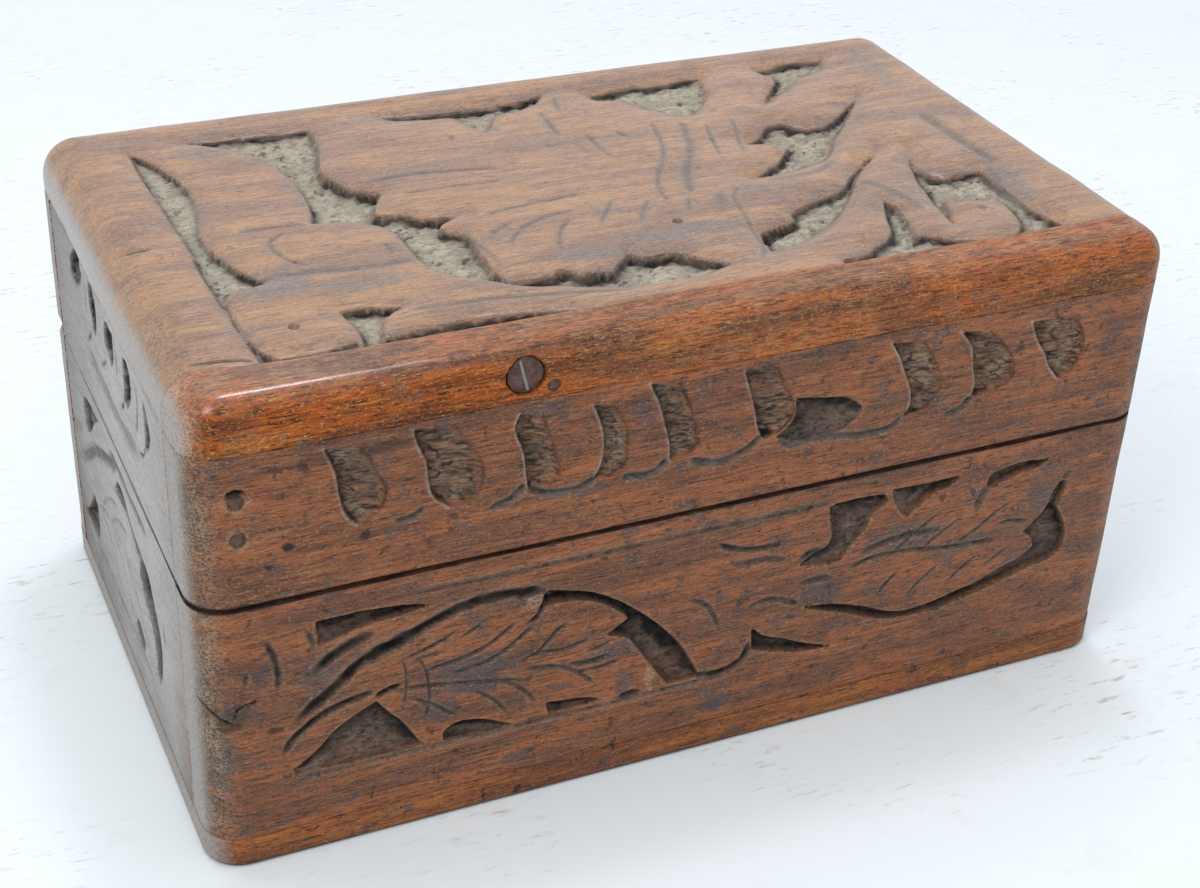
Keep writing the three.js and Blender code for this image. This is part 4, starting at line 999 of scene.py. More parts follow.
end_leaf_marks = [
    pocket(
        [(-29, 40), (-29.5, 45), (-28, 48), (-22, 49.3), (-15, 49.8)],
        [(-19.5, 47), (-22.5, 44), (-25.5, 41.5), (-29, 40)],
        deep=2.3, shallow=1.2, fall=((-24, 49), (-25, 43.5)), grime=1, seed=51,
    ),
    groove(
        *[(-40, 28), (-34, 31.5), (-28, 35.5), (-22, 39.5), (-15, 42.6), (-8, 45.4), (0, 48)],
        wide=3.2, deep=0.9, grime=0.6, raw=0.2, ends=(6, 6),
    ),
    groove(
        (-8, 47.8), (-2, 48.8), (5, 48.5), (12, 48.2), (22, 48.4),
        wide=2.4, deep=0.5, grime=0.55, raw=0.2,
    ),
    groove((-45, 33), (-38, 36), (-31, 39.5), wide=3, deep=0.3, grime=0.35, raw=0.1, ends=(5, 5)),
    pocket(
        [(-5, 41.5), (-2.5, 44.5), (0.5, 45.3), (4.5, 44.4), (8, 42), (13, 40.6), (17, 39.8),
         (20.5, 38.3), (23, 35)],
        [(25, 31), (25.8, 26.5), (24.5, 21), (22.3, 16.8)],
        [(20.3, 18), (20.5, 22), (18.5, 26.5), (14.5, 30), (11.5, 33.2), (12.5, 36.8)],
        [(8.5, 39.8), (4, 41.6), (-1, 41.2), (-5, 41.5)],
        deep=2.4, grime=1, rough=0.2, seed=52,
    ),
    pocket(
        [(-41, 15), (-36, 18.5), (-31, 23.5), (-28, 26.4)],
        [(-25.6, 24), (-26, 19), (-28.5, 15.2)],
        deep=2.3, shallow=1.3, fall=((-28, 25), (-34, 16)), grime=1, seed=53,
    ),
    pocket(
        [(4, 17.8), (6.2, 20.4), (8.8, 20), (11, 18.4)],
        [(10.3, 15.8), (7, 14.8), (4, 17.5)],
        deep=2, shallow=1, fall=((8, 20), (8, 15)), grime=1, seed=54,
    ),
    groove((-30, 14.6), (-10, 14.2), (20, 14), wide=2.2, deep=0.4, grime=0.4, raw=0.1, ends=(8, 8)),
    groove((-26, 25), (-18, 28.6), (-8, 30.2), (6, 30), wide=1.2, deep=0.4, grime=0.35, raw=0.1),
    *[
        groove(*points, wide=1.2, deep=0.35, grime=0.3, raw=0.1)
        for points in (
            [(-20, 28.5), (-15, 33), (-9, 36.5), (-3, 38.5)],
            [(-12, 30), (-7, 33.5), (-1, 36), (5, 37)],
            [(-20, 28), (-14, 25), (-8, 20), (-5, 17.5)],
            [(-11, 29.5), (-4, 26.5), (1, 22), (3, 18)],
            [(-1, 30.2), (6, 27), (11, 23.5), (15, 19)],
        )
    ],
    groove((29.5, 36), (30, 32), (29.3, 29.5), wide=1.1, deep=0.5, grime=0.5),
    stain(-10, 16, 5, 1.5, 0.5, seed=55, field="tan"),
]


def end_face(at, down, side):
    """An end board's outer face: its sheet is drawn as seen on the left end, from outside."""
    u, z = at.T
    return np.stack([side * (half_length - down), side * u, z], 1)


def end_inside(at, side):
    """The inner face behind an end board's sheet."""
    return np.stack([np.full(len(at), side * inner_x), side * at[:, 0], at[:, 1]], 1)


def end_boards(body, pattern, up, marks, seed, seam, seam_shadow_widths):
    """Both end boards of the base or lid, with grime in their joints and a painted shadow along the
    seam, over the two widths of seam_shadow_widths."""
    for side, name in ((-1, "left"), (1, "right")):
        mesh, at, rim = sheet(ticks((-end_half, end_half, 0.4)), up)
        fields = end_fields(at, rim, marks, side)
        joint = end_half - np.abs(at[:, 0])
        worn = hand_worn(at, up[0], up[-1], seed + side, seam_low=0.3, seam_high=0.3)
        worn_in = fields["down"] + np.maximum(worn, round_over(joint, 0.3))
        # Painted shadow along the seam, darker towards the back.
        seam_shadow_band = fade(np.abs(at[:, 1] - seam), *seam_shadow_widths) * (0.3 + 0.6 * fade(at[:, 0], 5, 40))
        for dark in (0.45 * fade(joint, 0.5, 0.1), seam_shadow_band):
            fields["grime"] = np.maximum(fields["grime"], dark)
        board(
            f"{name}_{pattern}_end", mesh, end_face(at, worn_in, side), end_inside(at, side),
            fields, end_wood, body, f"{body}_{name}_end", "case_wood",
        )


up = ticks((base_low, 52.2, 0.4), (52.2, base_high, 0.2))
end_boards("base", "leaf", up, end_leaf_marks, 61, base_high, (0.5, 0.15))

# Bottom board
# A six-millimetre board under the walls, its edges flush with them and more orange, its lower
# arrises worn round. It is nailed up into the long boards.
bottom_tones = {**case_tones, "brown": "#80451D", "warm": "#B06425", "spots": 0.9}
bottom_wood = wood("sheesham_bottom_board", 0, bottom_tones, rough=0.5, lacquer=0.05)
bm = bmesh.new()
bmesh.ops.create_cube(bm, size=1)
bmesh.ops.scale(bm, vec=(0.18, 0.1084, 0.006), verts=bm.verts)
bmesh.ops.translate(bm, vec=(0, 0, 0.003), verts=bm.verts)
upright_edges = [e for e in bm.edges if abs(e.verts[0].co.z - e.verts[1].co.z) > 0.001]
bmesh.ops.bevel(
    bm, geom=upright_edges, offset=corner_radius / 1000, segments=16, profile=0.5,
    affect="EDGES", material=-1,
)
low_edges = [e for e in bm.edges if max(v.co.z for v in e.verts) < 1e-6]
bmesh.ops.bevel(
    bm, geom=low_edges, offset=0.001, segments=4, profile=0.5, affect="EDGES", material=-1
)
bmesh.ops.recalc_face_normals(bm, faces=bm.faces)
for face in bm.faces:
    face.smooth = True
mesh = bpy.data.meshes.new("under_board")
bm.to_mesh(mesh)
bm.free()
bleached_and_sheen = mesh.attributes.new("bleach_and_sheen", "FLOAT", "POINT")
grime_and_foot_shadow_layer = mesh.attributes.new("grime", "FLOAT", "POINT")
for vertex, grey_sheen, grime_and_foot_shadow in zip(mesh.vertices, bleached_and_sheen.data, grime_and_foot_shadow_layer.data):
    # Bleached grey with a painted sheen at the left end, less at the right.
    grey_sheen.value = (0.9 if vertex.co.x < 0 else 0.3) * min(
        max((abs(vertex.co.x) - 0.086) / 0.0035, 0), 1,
    )
    # Painted shadow along the foot: the lowest millimetre goes near-black, over a little grime all
    # over.
    grime_and_foot_shadow.value = 0.1 + 0.9 * min(max((0.0009 - vertex.co.z) / 0.0006, 0), 1)
mesh.set_sharp_from_angle(angle=crease)
fasten(
    bpy.data.objects.new("under_board", mesh), "base", ["bottom_board"], "case_wood", bottom_wood,
)

# Lid, front and back boards
# Boards like the base's, with a row of gouged notches that lean along a scalloped line. They are
# nailed to the ends between them, and the nail heads sit just under the wood.
notch_marks = [
    scoop(
        [(-68.2, 79.8), (-66.5, 75), (-66, 71), (-65, 67), (-63.3, 64.8)],
        [(-63, 79.5), (-61, 77), (-59.3, 73), (-58.2, 70), (-59.2, 67), (-61.8, 65)],
        1.9, seed=71,
    ),
    scoop(
        [(-53.8, 80.3), (-53, 77), (-51.8, 74), (-51.3, 70), (-50.5, 67), (-48, 64.5)],
        [(-46.5, 79), (-44.5, 76), (-42.5, 72.5), (-42, 69), (-43, 66.2), (-45.5, 64.8)],
        2.0, seed=72,
    ),
    scoop(
        [(-36, 79.5), (-36.8, 76.5), (-35.3, 72), (-34.8, 68), (-34.3, 64.5)],
        [(-32, 78.4), (-30.3, 73), (-29.5, 70), (-28.6, 67), (-30.5, 65)],
        2.0, grime=0.6, seed=73,
    ),
    scoop(
        [(-23.5, 78.5), (-22, 75), (-21.2, 71), (-21.5, 67), (-23, 64)],
        [(-20, 78), (-17.5, 74), (-16.8, 70), (-17.2, 66), (-20, 64.2)],
        1.7, seed=74,
    ),
    scoop(
        [(-13.5, 80.5), (-11.5, 76), (-10.3, 72), (-9.2, 68), (-9, 64.5)],
        [(-8, 79.5), (-5.5, 74), (-4.5, 70), (-4.2, 66.5), (-6.5, 64.8)],
        1.9, grime=0.6, seed=75,
    ),
    scoop(
        [(3.8, 79.5), (5.3, 75), (6.5, 71), (7.3, 67.5), (8.5, 65)],
        [(10, 79), (12, 75), (14, 71), (14, 68.5), (11.5, 65.8)],
        2.0, seed=76,
    ),
    pocket(
        [(14.3, 72), (14.6, 69), (13.4, 66.6), (11, 65)],
        [(15, 63), (20, 62.8), (25, 63.8)],
        [(28, 67), (25, 70), (20, 71), (14.3, 72)],
        deep=1.5, shallow=0.2, fall=((14, 66), (27, 68)), grime=0.4, rough=0.3, seed=77,
    ),
    scoop(
        [(31.8, 79.5), (34, 76), (35.3, 73), (37, 69), (37.3, 66), (36, 63.5)],
        [(38.5, 78.5), (42, 73), (43.5, 69), (41.5, 66), (39, 64)],
        1.6, seed=78,
    ),
    scoop(
        [(45.8, 79), (48.5, 75.5), (49.5, 71), (50.3, 68), (50, 65)],
        [(52, 78), (56, 74), (58.3, 70), (58, 67), (54, 65.2)],
        2.0, grime=0.6, seed=79,
    ),
    scoop(
        [(60.5, 78.3), (62.5, 74), (64.5, 71), (66, 68), (68.5, 65)],
        [(66, 78), (70, 77), (72.5, 73), (72.5, 69), (70.5, 65.8)],
        2.0, grime=0.65, seed=80,
    ),
    # the scalloped line the notches stand on
    groove(
        (-57, 63.9), (-54, 64.2), (-51.5, 65.6),
        wide=1.1, deep=0.6, grime=0.45, lint=0.7, ends=(1, 1),
    ),
    groove(
        (-41, 62.5), (-37.5, 63.6), (-34.5, 66),
        wide=1.2, deep=0.7, grime=0.45, lint=0.8, ends=(1, 1),
    ),
    groove(
        (-34.3, 65), (-31, 63.5), (-26, 63), (-22, 64.5),
        wide=1.2, deep=0.7, grime=0.45, lint=0.8, ends=(1, 1),
    ),
    groove(
        (-17.5, 63.4), (-12, 63), (-9, 65.2),
        wide=1.3, deep=0.7, grime=0.45, lint=0.8, ends=(1, 1),
    ),
    groove(
        (-5, 64), (0, 62.4), (5, 63.5), (8.5, 66),
        wide=1.3, deep=0.7, grime=0.45, lint=0.8, ends=(1, 1),
    ),
    groove(
        (11, 65), (14, 63), (22, 62.8), (28, 62), (34, 62.2), (37, 65),
        wide=1.1, deep=0.6, grime=0.45, lint=0.7,
    ),
    groove(
        (45, 62.4), (48, 63), (50.3, 65.3),
        wide=1.2, deep=0.7, grime=0.45, lint=0.8, ends=(1, 1),
    ),
    stain(-74.3, 63.3, 1.0, 0.9, 1.0, seed=81),
    stain(-62, 62.5, 1.1, 1.0, 0.9, seed=82),
    stain(-77.5, 60, 0.6, 0.6, 0.9, seed=83),
    stain(-57.5, 78.3, 5, 1.2, 0.5, seed=84),
]
lid_nail_marks = [
    hollow(-82, 66.3, 1.4, 0.2, grime=0.35, rim=0.15),
    hollow(-82, 73, 1.4, 0.2, grime=0.25, rim=0.15),
    stain(-82, 66.3, 2.1, 2.0, 0.6, seed=86, field="worn"),
    stain(-82, 73, 2.3, 2.1, 0.7, seed=87, field="worn"),
    # The gap over the upper nail's head, with its shade painted black by grime and a black stain.
    groove(
        (-83.3, 74.3), (-82.2, 74.8), (-80.9, 74.5),
        wide=1.4, deep=1.8, grime=1, ends=(0.4, 0.4), film=0,
    ),
    stain(-82.1, 74.6, 1.5, 0.5, 1, seed=88),
    stain(-90.5, 70, 2.5, 6, 0.5, seed=85, field="film"),
]

lid_low, lid_high = 53.7, 81.4
mesh, at, rim = sheet(
    base_across, ticks((lid_low, 54.7, 0.2), (54.7, 80.8, 0.335), (80.8, lid_high, 0.2)),
)
fields = case_fields(at, rim, notch_marks + lid_nail_marks, -1)
worn_in = fields["down"] + hand_worn(at, lid_low, lid_high, 91, seam_low=0.32)
worn_in *= fade(board_end - np.abs(at[:, 0]), 0, 0.6)
seam_shadow(fields, at, at[:, 1] - lid_low, near=0.2, wide=0.2, uneven=0.1, seed=93)
board(
    "front_notch_board", mesh, case_front(at, worn_in), case_inside(at), fields, long_wood, "lid",
    "lid_front_board", "case_wood",
)

mesh, at, rim = sheet(across, ticks((lid_low, 56, 0.2), (56, lid_high, 0.45)))
fields = case_fields(at, rim, notch_marks, 1)
worn_in = fields["down"] + hand_worn(at, lid_low, lid_high, 95)
worn_in = np.maximum(worn_in * fade(board_end - np.abs(at[:, 0]), 0, 0.6), hinge_room(at))
worn_in[np.abs(at[:, 0]) > board_end - 0.5] = 0
board(
    "back_notch_board", mesh, half_turn(case_front(at, worn_in)), half_turn(case_inside(at)),
    fields, long_wood, "lid", "lid_back_board", "case_wood",
)

# Lid, end boards
# Boards set between the long ones and bleached, with a painted sheen, like the base's, with narrow
# notches high up and thin arcs beside them.
end_notch_marks = [
    scoop(
        [(-27.8, 74), (-26.5, 78), (-22.5, 81.3), (-18.5, 84)],
        [(-24, 73.5), (-20, 75), (-16.8, 79)],
        1.8, grime=1.6, fibre=0, seed=101,
    ),
    scoop(
        [(-10.8, 81), (-11.4, 78), (-11, 75), (-9.8, 71.5)],
        [(-8.2, 80.8), (-6.3, 78), (-6.6, 74.5), (-8.6, 71)],
        1.8, grime=1.6, fibre=0, seed=102,
    ),
    scoop(
        [(0.3, 74), (0.8, 78), (3, 80)], [(4, 71.8), (6.8, 74.5), (7.3, 79.5)], 1.8, grime=1.6,
        seed=103, fibre=0,
    ),
    scoop(
        [(15, 79.6), (14.6, 76), (14.2, 73), (13, 70)],
        [(17.5, 80), (19.8, 78.3), (19, 73.5), (15.5, 70)],
        1.8, grime=1.6, fibre=0, seed=104,
    ),
    scoop(
        [(28.8, 79), (29, 75.5), (28.5, 72), (28, 69.5)],
        [(30, 78.5), (32.3, 75), (31.2, 71.5), (28.8, 69.2)],
        1.7, grime=1.6, fibre=0, seed=105,
    ),
    groove((8.5, 80), (9.5, 76), (8, 71), wide=1.0, deep=0.5, grime=0.6, raw=0.2),
    groove((23, 80), (24.4, 77.5), (23.6, 73), (21.3, 68), wide=1.0, deep=0.6, grime=0.9, raw=0.2),
    groove((-14, 80), (-14.5, 75), (-16, 71), wide=1.0, deep=0.4, grime=0.4, raw=0.2),
    groove(
        (-17, 66), (-14, 68), (-11.5, 70.5),
        wide=1.0, deep=0.5, grime=0.6, ends=(1, 1), raw=0.2,
    ),
    groove((-5, 67), (-2.5, 68.8), (0, 70.5), wide=1.0, deep=0.5, grime=0.6, ends=(1, 1), raw=0.2),
    groove(
        (9.5, 66.5), (11.5, 68), (13, 69.5),
        wide=1.0, deep=0.5, grime=0.8, ends=(1, 1), raw=0.2,
    ),
    groove(
        (22.5, 65.5), (25.5, 66.5), (28, 69.5),
        wide=0.8, deep=0.5, grime=0.8, ends=(1, 1), raw=0.2,
    ),
    groove(
        (-21, 64.6), (-8, 62.8), (8, 62.4), (24, 64.8),
        wide=4, deep=0.4, grime=0.4, raw=0.1, ends=(8, 8),
    ),
]
up = ticks((lid_low, 54.7, 0.2), (54.7, lid_high, 0.4))
end_boards("lid", "notch", up, end_notch_marks, 111, lid_low, (0.4, 0.1))

# Lid, carved top
# A board 9.5 mm thick, its upper arrises worn to a round of 7 mm. Two birds stand back to back
# beside a big toothed leaf, left standing where the ground was cut out, and the ground holds dust.
top_z, top_under = 91, 81.5
flat_x, radius_x = 83, 7


def joint_line(x):
    """The joint with the strip. It bends back at the left end."""
    return -44.5 + 2.1 * fade(-x, 68, 92)


def over_arrises(u, v, radius_y, down):
    """Lays the top's sheet over its round arrises and down its sides, sunk by so much."""
    flat_y = half_depth - radius_y
    length_x = radius_x * math.pi / 2 + top_z - top_under - radius_x
    length_y = radius_y * math.pi / 2 + top_z - top_under - radius_y
    a = np.maximum(np.abs(u) - flat_x, 0) / length_x
    b = np.maximum(np.abs(v) - flat_y, 0) / length_y
    across, along = np.maximum(a, b), np.arctan2(b, a)
    radius = radius_x * np.cos(along) ** 2 + radius_y * np.sin(along) ** 2
    way = across * (radius * math.pi / 2 + top_z - top_under - radius)
    turn = np.minimum(way / radius, math.pi / 2)
    drop = (radius - down) * (1 - np.cos(turn)) + down + np.maximum(way - radius * math.pi / 2, 0)
    drop = np.where(
        turn > math.pi / 2 - 1e-6, radius + np.maximum(way - radius * math.pi / 2, 0), drop,
    )
    start = np.stack([np.minimum(np.abs(u), flat_x), np.minimum(np.abs(v), flat_y)], 1)
    heading = np.stack([np.cos(along), np.sin(along)], 1)
    centre = np.array([corner_x, corner_y])
    to_centre = centre - start
    reach = (to_centre * heading).sum(1)
    round_off = corner_radius**2 - (to_centre**2).sum(1) + reach**2
    corner = reach + np.sqrt(np.maximum(round_off, 0))
    side = (half_length - start[:, 0]) / np.maximum(heading[:, 0], 1e-6)
    end = (half_depth - start[:, 1]) / np.maximum(heading[:, 1], 1e-6)
    far = start + side[:, None] * heading
    top = start + end[:, None] * heading
    out = np.where(far[:, 1] <= corner_y, side, np.where(top[:, 0] <= corner_x, end, corner))
    out = np.where((a == 0) & (b == 0), 0, out)
    spread = start + heading * ((out - down) * np.sin(turn))[:, None]
    spread = np.where(((a == 0) & (b == 0))[:, None], start, spread)
    return np.stack([np.copysign(spread[:, 0], u), np.copysign(spread[:, 1], v), top_z - drop], 1)


# Tan-orange on the raised work, greyed by dust and handling; the ground is pale with dry dust.
top_tones = {
    **case_tones, "brown": "#906850", "warm": "#B8865A", "dark": "#6B4C38", "pore": "#2C1E17",
    "light": "#D8B58C", "veil": "#726A68", "streaks": 0.6, "film": 0.35,
    "pores": 0.5, "specks": 0.5, "spots": 0.35, "rim": "#BBA184", "tan": "#B6956C",
    "raw": "#A0988A", "dust": "#DCD2B8", "pits": 0.75,
    "cover": 0.97, "soot_and_shade_tone": "#1F140F", "bloom": 0.16, "gloss": 0.5,
}
top_wood = wood("sheesham_carved_top", 0, top_tones, rough=0.4, lacquer=0.45)


def ground(*runs, deep=2.2, grime=0.14, rough=0.22, edge=(0.6, 1.4), wall=0.8, film=0.6, **rest):
    """Ground between raised work whose edges are rubbed round and greyed."""
    rest.update(deep=deep, grime=grime, rough=rough, edge=edge, wall=wall, film=film)
    return pocket(*runs, shade=0.8, **rest)


def vein(*points, wide=1.0, deep=0.25, film=0.8):
    """A stroke of the veiner, rubbed nearly level and grey with wax."""
    return groove(*points, wide=wide, deep=deep, grime=0.3, raw=0.1, film=0.8 * film, ends=(2, 2))


bird_marks = [
    # ground along the left border
    ground(
        [(-75, 41), (-75.2, 30), (-74.8, 15), (-74.5, 0), (-74.8, -12), (-74.6, -22), (-74.3, -30),
         (-74, -36), (-73.5, -48)],
        [(-69.5, -48)],
        [(-69.9, -44), (-71.2, -41), (-72.6, -37), (-73.3, -32), (-73.4, -26), (-73, -21.5),
         (-72.2, -18.3)],
        [(-69, -17.6), (-65.2, -17.2)],
        [(-67.5, -13), (-69.3, -8.5), (-70.6, -2), (-70.6, 5), (-69, 12), (-68, 20), (-69.2, 28),
         (-71.8, 35.5), (-75, 41)],
        deep=1.4, seed=121,
    ),
    # ground between the left bird and the leaf, round the leaf's teeth
    ground(
        [(-66, 42.5), (-60, 41.5), (-55, 41.5), (-50, 41), (-45, 41), (-40.3, 41.3)],
        [(-41, 33), (-43, 26), (-44, 21), (-43.2, 17.5)],
        [(-41.5, 13.5), (-38.5, 11), (-36.8, 10)],
        [(-37.2, 8.5), (-39, 5.5), (-39.8, 3.5), (-40.8, 1.6)],
        [(-36, 0.5), (-33, -2.5), (-27, -3.7)],
        [(-29, -5), (-31.5, -6.5), (-31.2, -8.4)],
        [(-29, -10), (-28, -13), (-28.5, -16), (-28.5, -20), (-28.8, -25), (-28.2, -29.8)],
        [(-24, -30), (-20.5, -30.2)],
        [(-19, -28.5), (-17.5, -29), (-15.5, -31.5)],
        [(-13.5, -31), (-10.5, -31.8)],
        [(-8.5, -29.5), (-5, -26.5)],
        [(-3, -29), (0, -29), (2.5, -29.3), (5, -31), (8, -34), (10.5, -36)],
        [(5, -37.8), (0, -38.6), (-5, -38.7), (-10, -38.2), (-14, -36.7), (-19, -34.5),
         (-24, -32.8), (-28.5, -30.5)],
        [(-31, -28.5), (-34.5, -26), (-37, -23.5), (-38.8, -20), (-39.5, -14), (-39.6, -8),
         (-40.5, -4.5), (-43, -1.5), (-47, 0.8), (-52.3, 1.8)],
        [(-51.5, 4), (-50.5, 9), (-50.2, 14), (-50.3, 20), (-51, 25), (-52.5, 30), (-55, 34),
         (-58, 37.5), (-62, 40.5), (-66, 42.5)],
        shallow=1.0, fall=((-49.3, 32.3), (-49.3, 43.3)), seed=122,
    ),
    # ground below the left bird's beak and the long leaf, out to the strip
    ground(
        [(-57.5, -30), (-53, -30.2), (-50, -31.3), (-46.8, -32)],
        [(-50, -34), (-52, -36.5), (-53, -40), (-53.3, -48)],
        [(-58.4, -48)],
        [(-57, -40), (-56.7, -36), (-57.3, -32.5), (-57.5, -30)],
        deep=1.8, seed=123,
    ),
    ground(
        [(-70.5, -41.9), (-66, -41.9), (-61, -41.3), (-57.5, -40)],
        [(-57.8, -48)],
        [(-70.5, -48)],
        deep=1.2, grime=0.6, dust=0.4, seed=124,
    ),
    ground(
        [(-54, -41.2), (-47, -39.9), (-41, -39.3), (-34, -39.9), (-27, -41), (-19.5, -42.8)],
        [(-24, -48)],
        [(-54, -48)],
        deep=1.9, shallow=0.8, fall=((-35, -40), (-35, -44)), grime=0.5, dust=0.4, seed=125,
    ),
    # ground between the stems on the right
    ground(
        [(18.2, -34), (19.5, -30), (20.5, -26)],
        [(24, -24.8), (28.8, -23.2)],
        [(29.3, -21), (33, -19), (38, -17), (43, -15), (47, -11), (52, -6.5), (57, -3), (60, 0.5)],
        [(56, -5), (51, -9), (46, -15), (42, -20), (37, -25), (31, -29), (25, -32.5), (18.2, -34)],
        edge=(1.1, 2.4), wall=1.0, seed=126,
    ),
    ground(
        [(18.2, -31.5), (19.5, -29), (20.5, -26)],
        [(24, -24.8), (28.8, -23.2)],
        [(27.5, -26), (23.5, -28), (18.2, -31.5)],
        deep=3.4, grime=1, dust=0.3, seed=127,
    ),
    ground(
        [(29.5, -5.3), (34, -2.8), (38, 0.3), (42.7, 5.3)],
        [(40, 8), (35.5, 9.2)],
        [(40, 12), (43.5, 15.3), (47, 16)],
        [(50, 12.8), (53.5, 12)],
        [(58, 14.5), (63, 18.5), (70, 24.5)],
        [(64, 17), (58, 10), (54, 6), (51, 1.5), (47.5, -2), (42, -4.3), (35, -5), (29.5, -5.3)],
        edge=(1.2, 2.4), wall=1.1, seed=128,
    ),
    # ground behind the leaf, along the back border
    ground(
        [(-26.5, 43), (-20, 42), (-12, 41.5), (0, 42), (8.5, 43.3)],
        [(5, 39.5), (1, 37.5), (-4, 37), (-7, 32), (-9.5, 30)],
        [(-11, 35), (-13, 38), (-17, 38.5), (-22, 39.5), (-26.5, 43)],
        edge=(1.0, 2.2), wall=0.9, seed=129,
    ),
    ground(
        [(16.5, 41), (22, 41.5), (27, 42), (33, 41.5), (38, 42.5), (43, 43)],
        [(41.5, 37), (40, 33), (37, 29), (33, 25.5)],
        [(29, 26), (26, 29.5), (24.5, 33), (22, 36), (18, 37.5), (16.5, 41)],
        deep=2, edge=(1.2, 2.4), wall=1.2, seed=130,
    ),
    ground(
        [(55, 42.5), (62, 43.8), (72, 43.3)],
        [(70, 39.5), (66, 37), (61, 34.5), (57, 31), (52, 27.5), (48, 25)],
        [(51, 29.5), (54.5, 33.5), (56.5, 37), (56, 40), (55, 42.5)],
        deep=2, edge=(1.2, 2.4), wall=1.2, seed=131,
    ),
    # ground round the right bird
    ground(
        [(27.5, -48), (28.5, -40.8)],
        [(33, -40), (36.5, -38), (40, -36.3)],
        [(42.8, -33), (44.5, -28.5), (47.5, -22.3)],
        [(48.6, -26), (47.6, -31), (46, -36.8)],
        [(48.8, -37.8), (51.5, -40), (55, -41.8), (60, -42.6)],
        [(60, -48)],
        edge=(1.0, 2.2), wall=0.8, seed=132,
    ),
    ground(
        [(65, -2.5), (61.5, -8.5), (58.8, -15), (57, -21.5), (55.3, -29), (54.6, -36)],
        [(56.8, -31), (58.8, -26), (61, -24.8)],
        [(65, -27.3), (68, -26.3)],
        [(68.6, -28), (68.3, -32), (67, -37), (64.5, -40.5), (60.5, -42.8)],
        [(72, -43)],
        [(74, -41.5), (72.5, -35), (72, -29), (72.3, -19.5), (72, -16.3)],
        [(67, -16.2), (64, -17)],
        [(61.8, -14), (62.3, -9), (65, -2.5)],
        edge=(1.1, 2.2), wall=0.9, seed=133,
    ),
]
vein_marks = [
    # the left bird's eye, neck and wing
    hollow(-66.5, -35, 0.85, 0.45, grime=0.75),
    hollow(-73.2, -19.8, 0.7, 0.8, grime=0.9),
    vein((-58, -2), (-62, -6), (-61, -12), (-58, -16), wide=0.9),
    vein((-44, -11), (-43.5, -16), wide=0.9),
    vein((-66, 0), (-60, 0.2), (-53, -0.5), wide=1.6, film=0.7),
    vein((-68, -17), (-60, -18), (-50, -19.5), (-40, -19), wide=1.8, film=0.8),
    vein((-48, -35.5), (-40, -36), (-30, -37), (-20, -39), (-10, -41), wide=1.4, film=0.6),
    stain(-66, -20, 7, 5, 0.75, seed=143, field="film"),
    stain(-52, -24, 9, 3, 0.6, seed=144, field="film"),
    stain(-62, 33, 7, 3, 0.6, seed=145, field="film"),
    # the leaf's veins, in rows along its midrib
    vein((-39, 12.3), (-33, 13), (-27, 12.7), (-20, 11.5), (-13, 10.5)),
    vein((-35, 6), (-25, 5.8), (-15, 5.2), film=0.6),
    vein((-24, -7), (-18, -6), (-10, -5), (-4, -4.5)),
    vein((-26, -15.5), (-24, -13.5), (-20, -11)),
    vein((-24, -20), (-21.5, -16), (-18, -13), (-12, -11), (-8, -10.5)),
    vein((-29, -12.5), (-28.5, -18), (-28, -26), film=0.6),
    vein((-16.5, -25), (-15.5, -21), (-13.5, -17), (-10, -13)),
    vein((-6.5, -18), (-5, -15.5), (-2, -11.5), (0, -8.5)),
    vein((1, -19), (3, -15), (6, -11)),
    vein((10.5, -18), (12, -15), (13.5, -12)),
    vein((13.5, -16), (14, -13)),
    vein((17, -18), (18.5, -14.5), (20, -12), wide=2),
    vein((9, -13), (9.5, -9), (11, -4), (14, 1), (17, 6), (19, 11), (20.5, 17), (21.5, 21)),
    vein(
        *[(14.5, -11), (15.5, -8), (17, -4), (19, 0), (21.5, 4), (24, 9), (25, 13), (26.5, 17),
          (27, 19.5)],
        wide=1.9, deep=0.35,
    ),
    vein((27, 2), (28.5, 8), (30, 13), (31, 17), film=0.6),
    vein((32, 2), (34, 8), (36, 14), (37, 18), film=0.6),
    vein((13, 20), (14, 15)),
    vein((7.5, 8), (7, 14), (7, 20)),
    vein((2, 20), (2.5, 27), (3, 33)),
    vein((6.5, 31), (8, 37), (9, 40)),
    vein((11, 28), (12, 31)),
    vein((25, 42), (24.5, 36), (24, 30), film=0.6),
    vein((-18, 24), (-17, 28)),
    vein((-8, 26), (-7, 31)),
    vein((-25, 40), (-22, 43)),
    vein((14, -39), (17, -34), (18.5, -28), (19.5, -22), (21, -15), (24, -11), film=0.6),
    hollow(7, -20.5, 0.8, 0.7, grime=0.9),
    stain(27, -12, 2.5, 1.5, 0.8, seed=146, field="film"),
    stain(8, -24, 13, 2.4, 0.7, seed=147, field="film"),
    stain(-12, -27, 8, 2.5, 0.6, seed=148, field="film"),
    # the right bird's eye, and the groove beside its back
    hollow(62, -33, 0.8, 0.45, grime=0.6),
    vein((74, 8), (74.5, -5), (75, -15), (73, -18), wide=2.8, deep=0.5),
    vein((47, -14), (50, -22), (51.5, -31), wide=1.8, film=0.6),
    vein((30, -10), (40, -9.5), (48, -5), wide=2, film=0.6),
    stain(72, -26, 4, 9, 0.7, seed=149, field="film"),
    stain(77, 30, 3, 12, 0.5, seed=150, field="film"),
    # cracks at the rim and at the strip's joint
    groove((-85.5, -1), (-83.5, -1.3), (-81, -1), wide=0.6, deep=0.6, grime=1, ends=(0.5, 0.5)),
    groove((-85, -42.2), (-80, -42.4), (-75, -43), wide=0.8, deep=0.7, grime=1, ends=(1, 1)),
]


def shifted(marks, move):
    """The same marks, moved."""
    move = np.array(move)
    return [
        {
            "lines": [line + move for line in mark["lines"]],
            "cut": lambda at, cut=mark["cut"]: cut(at - move),
            "reach": mark["reach"] + move,
        }
        for mark in marks
    ]


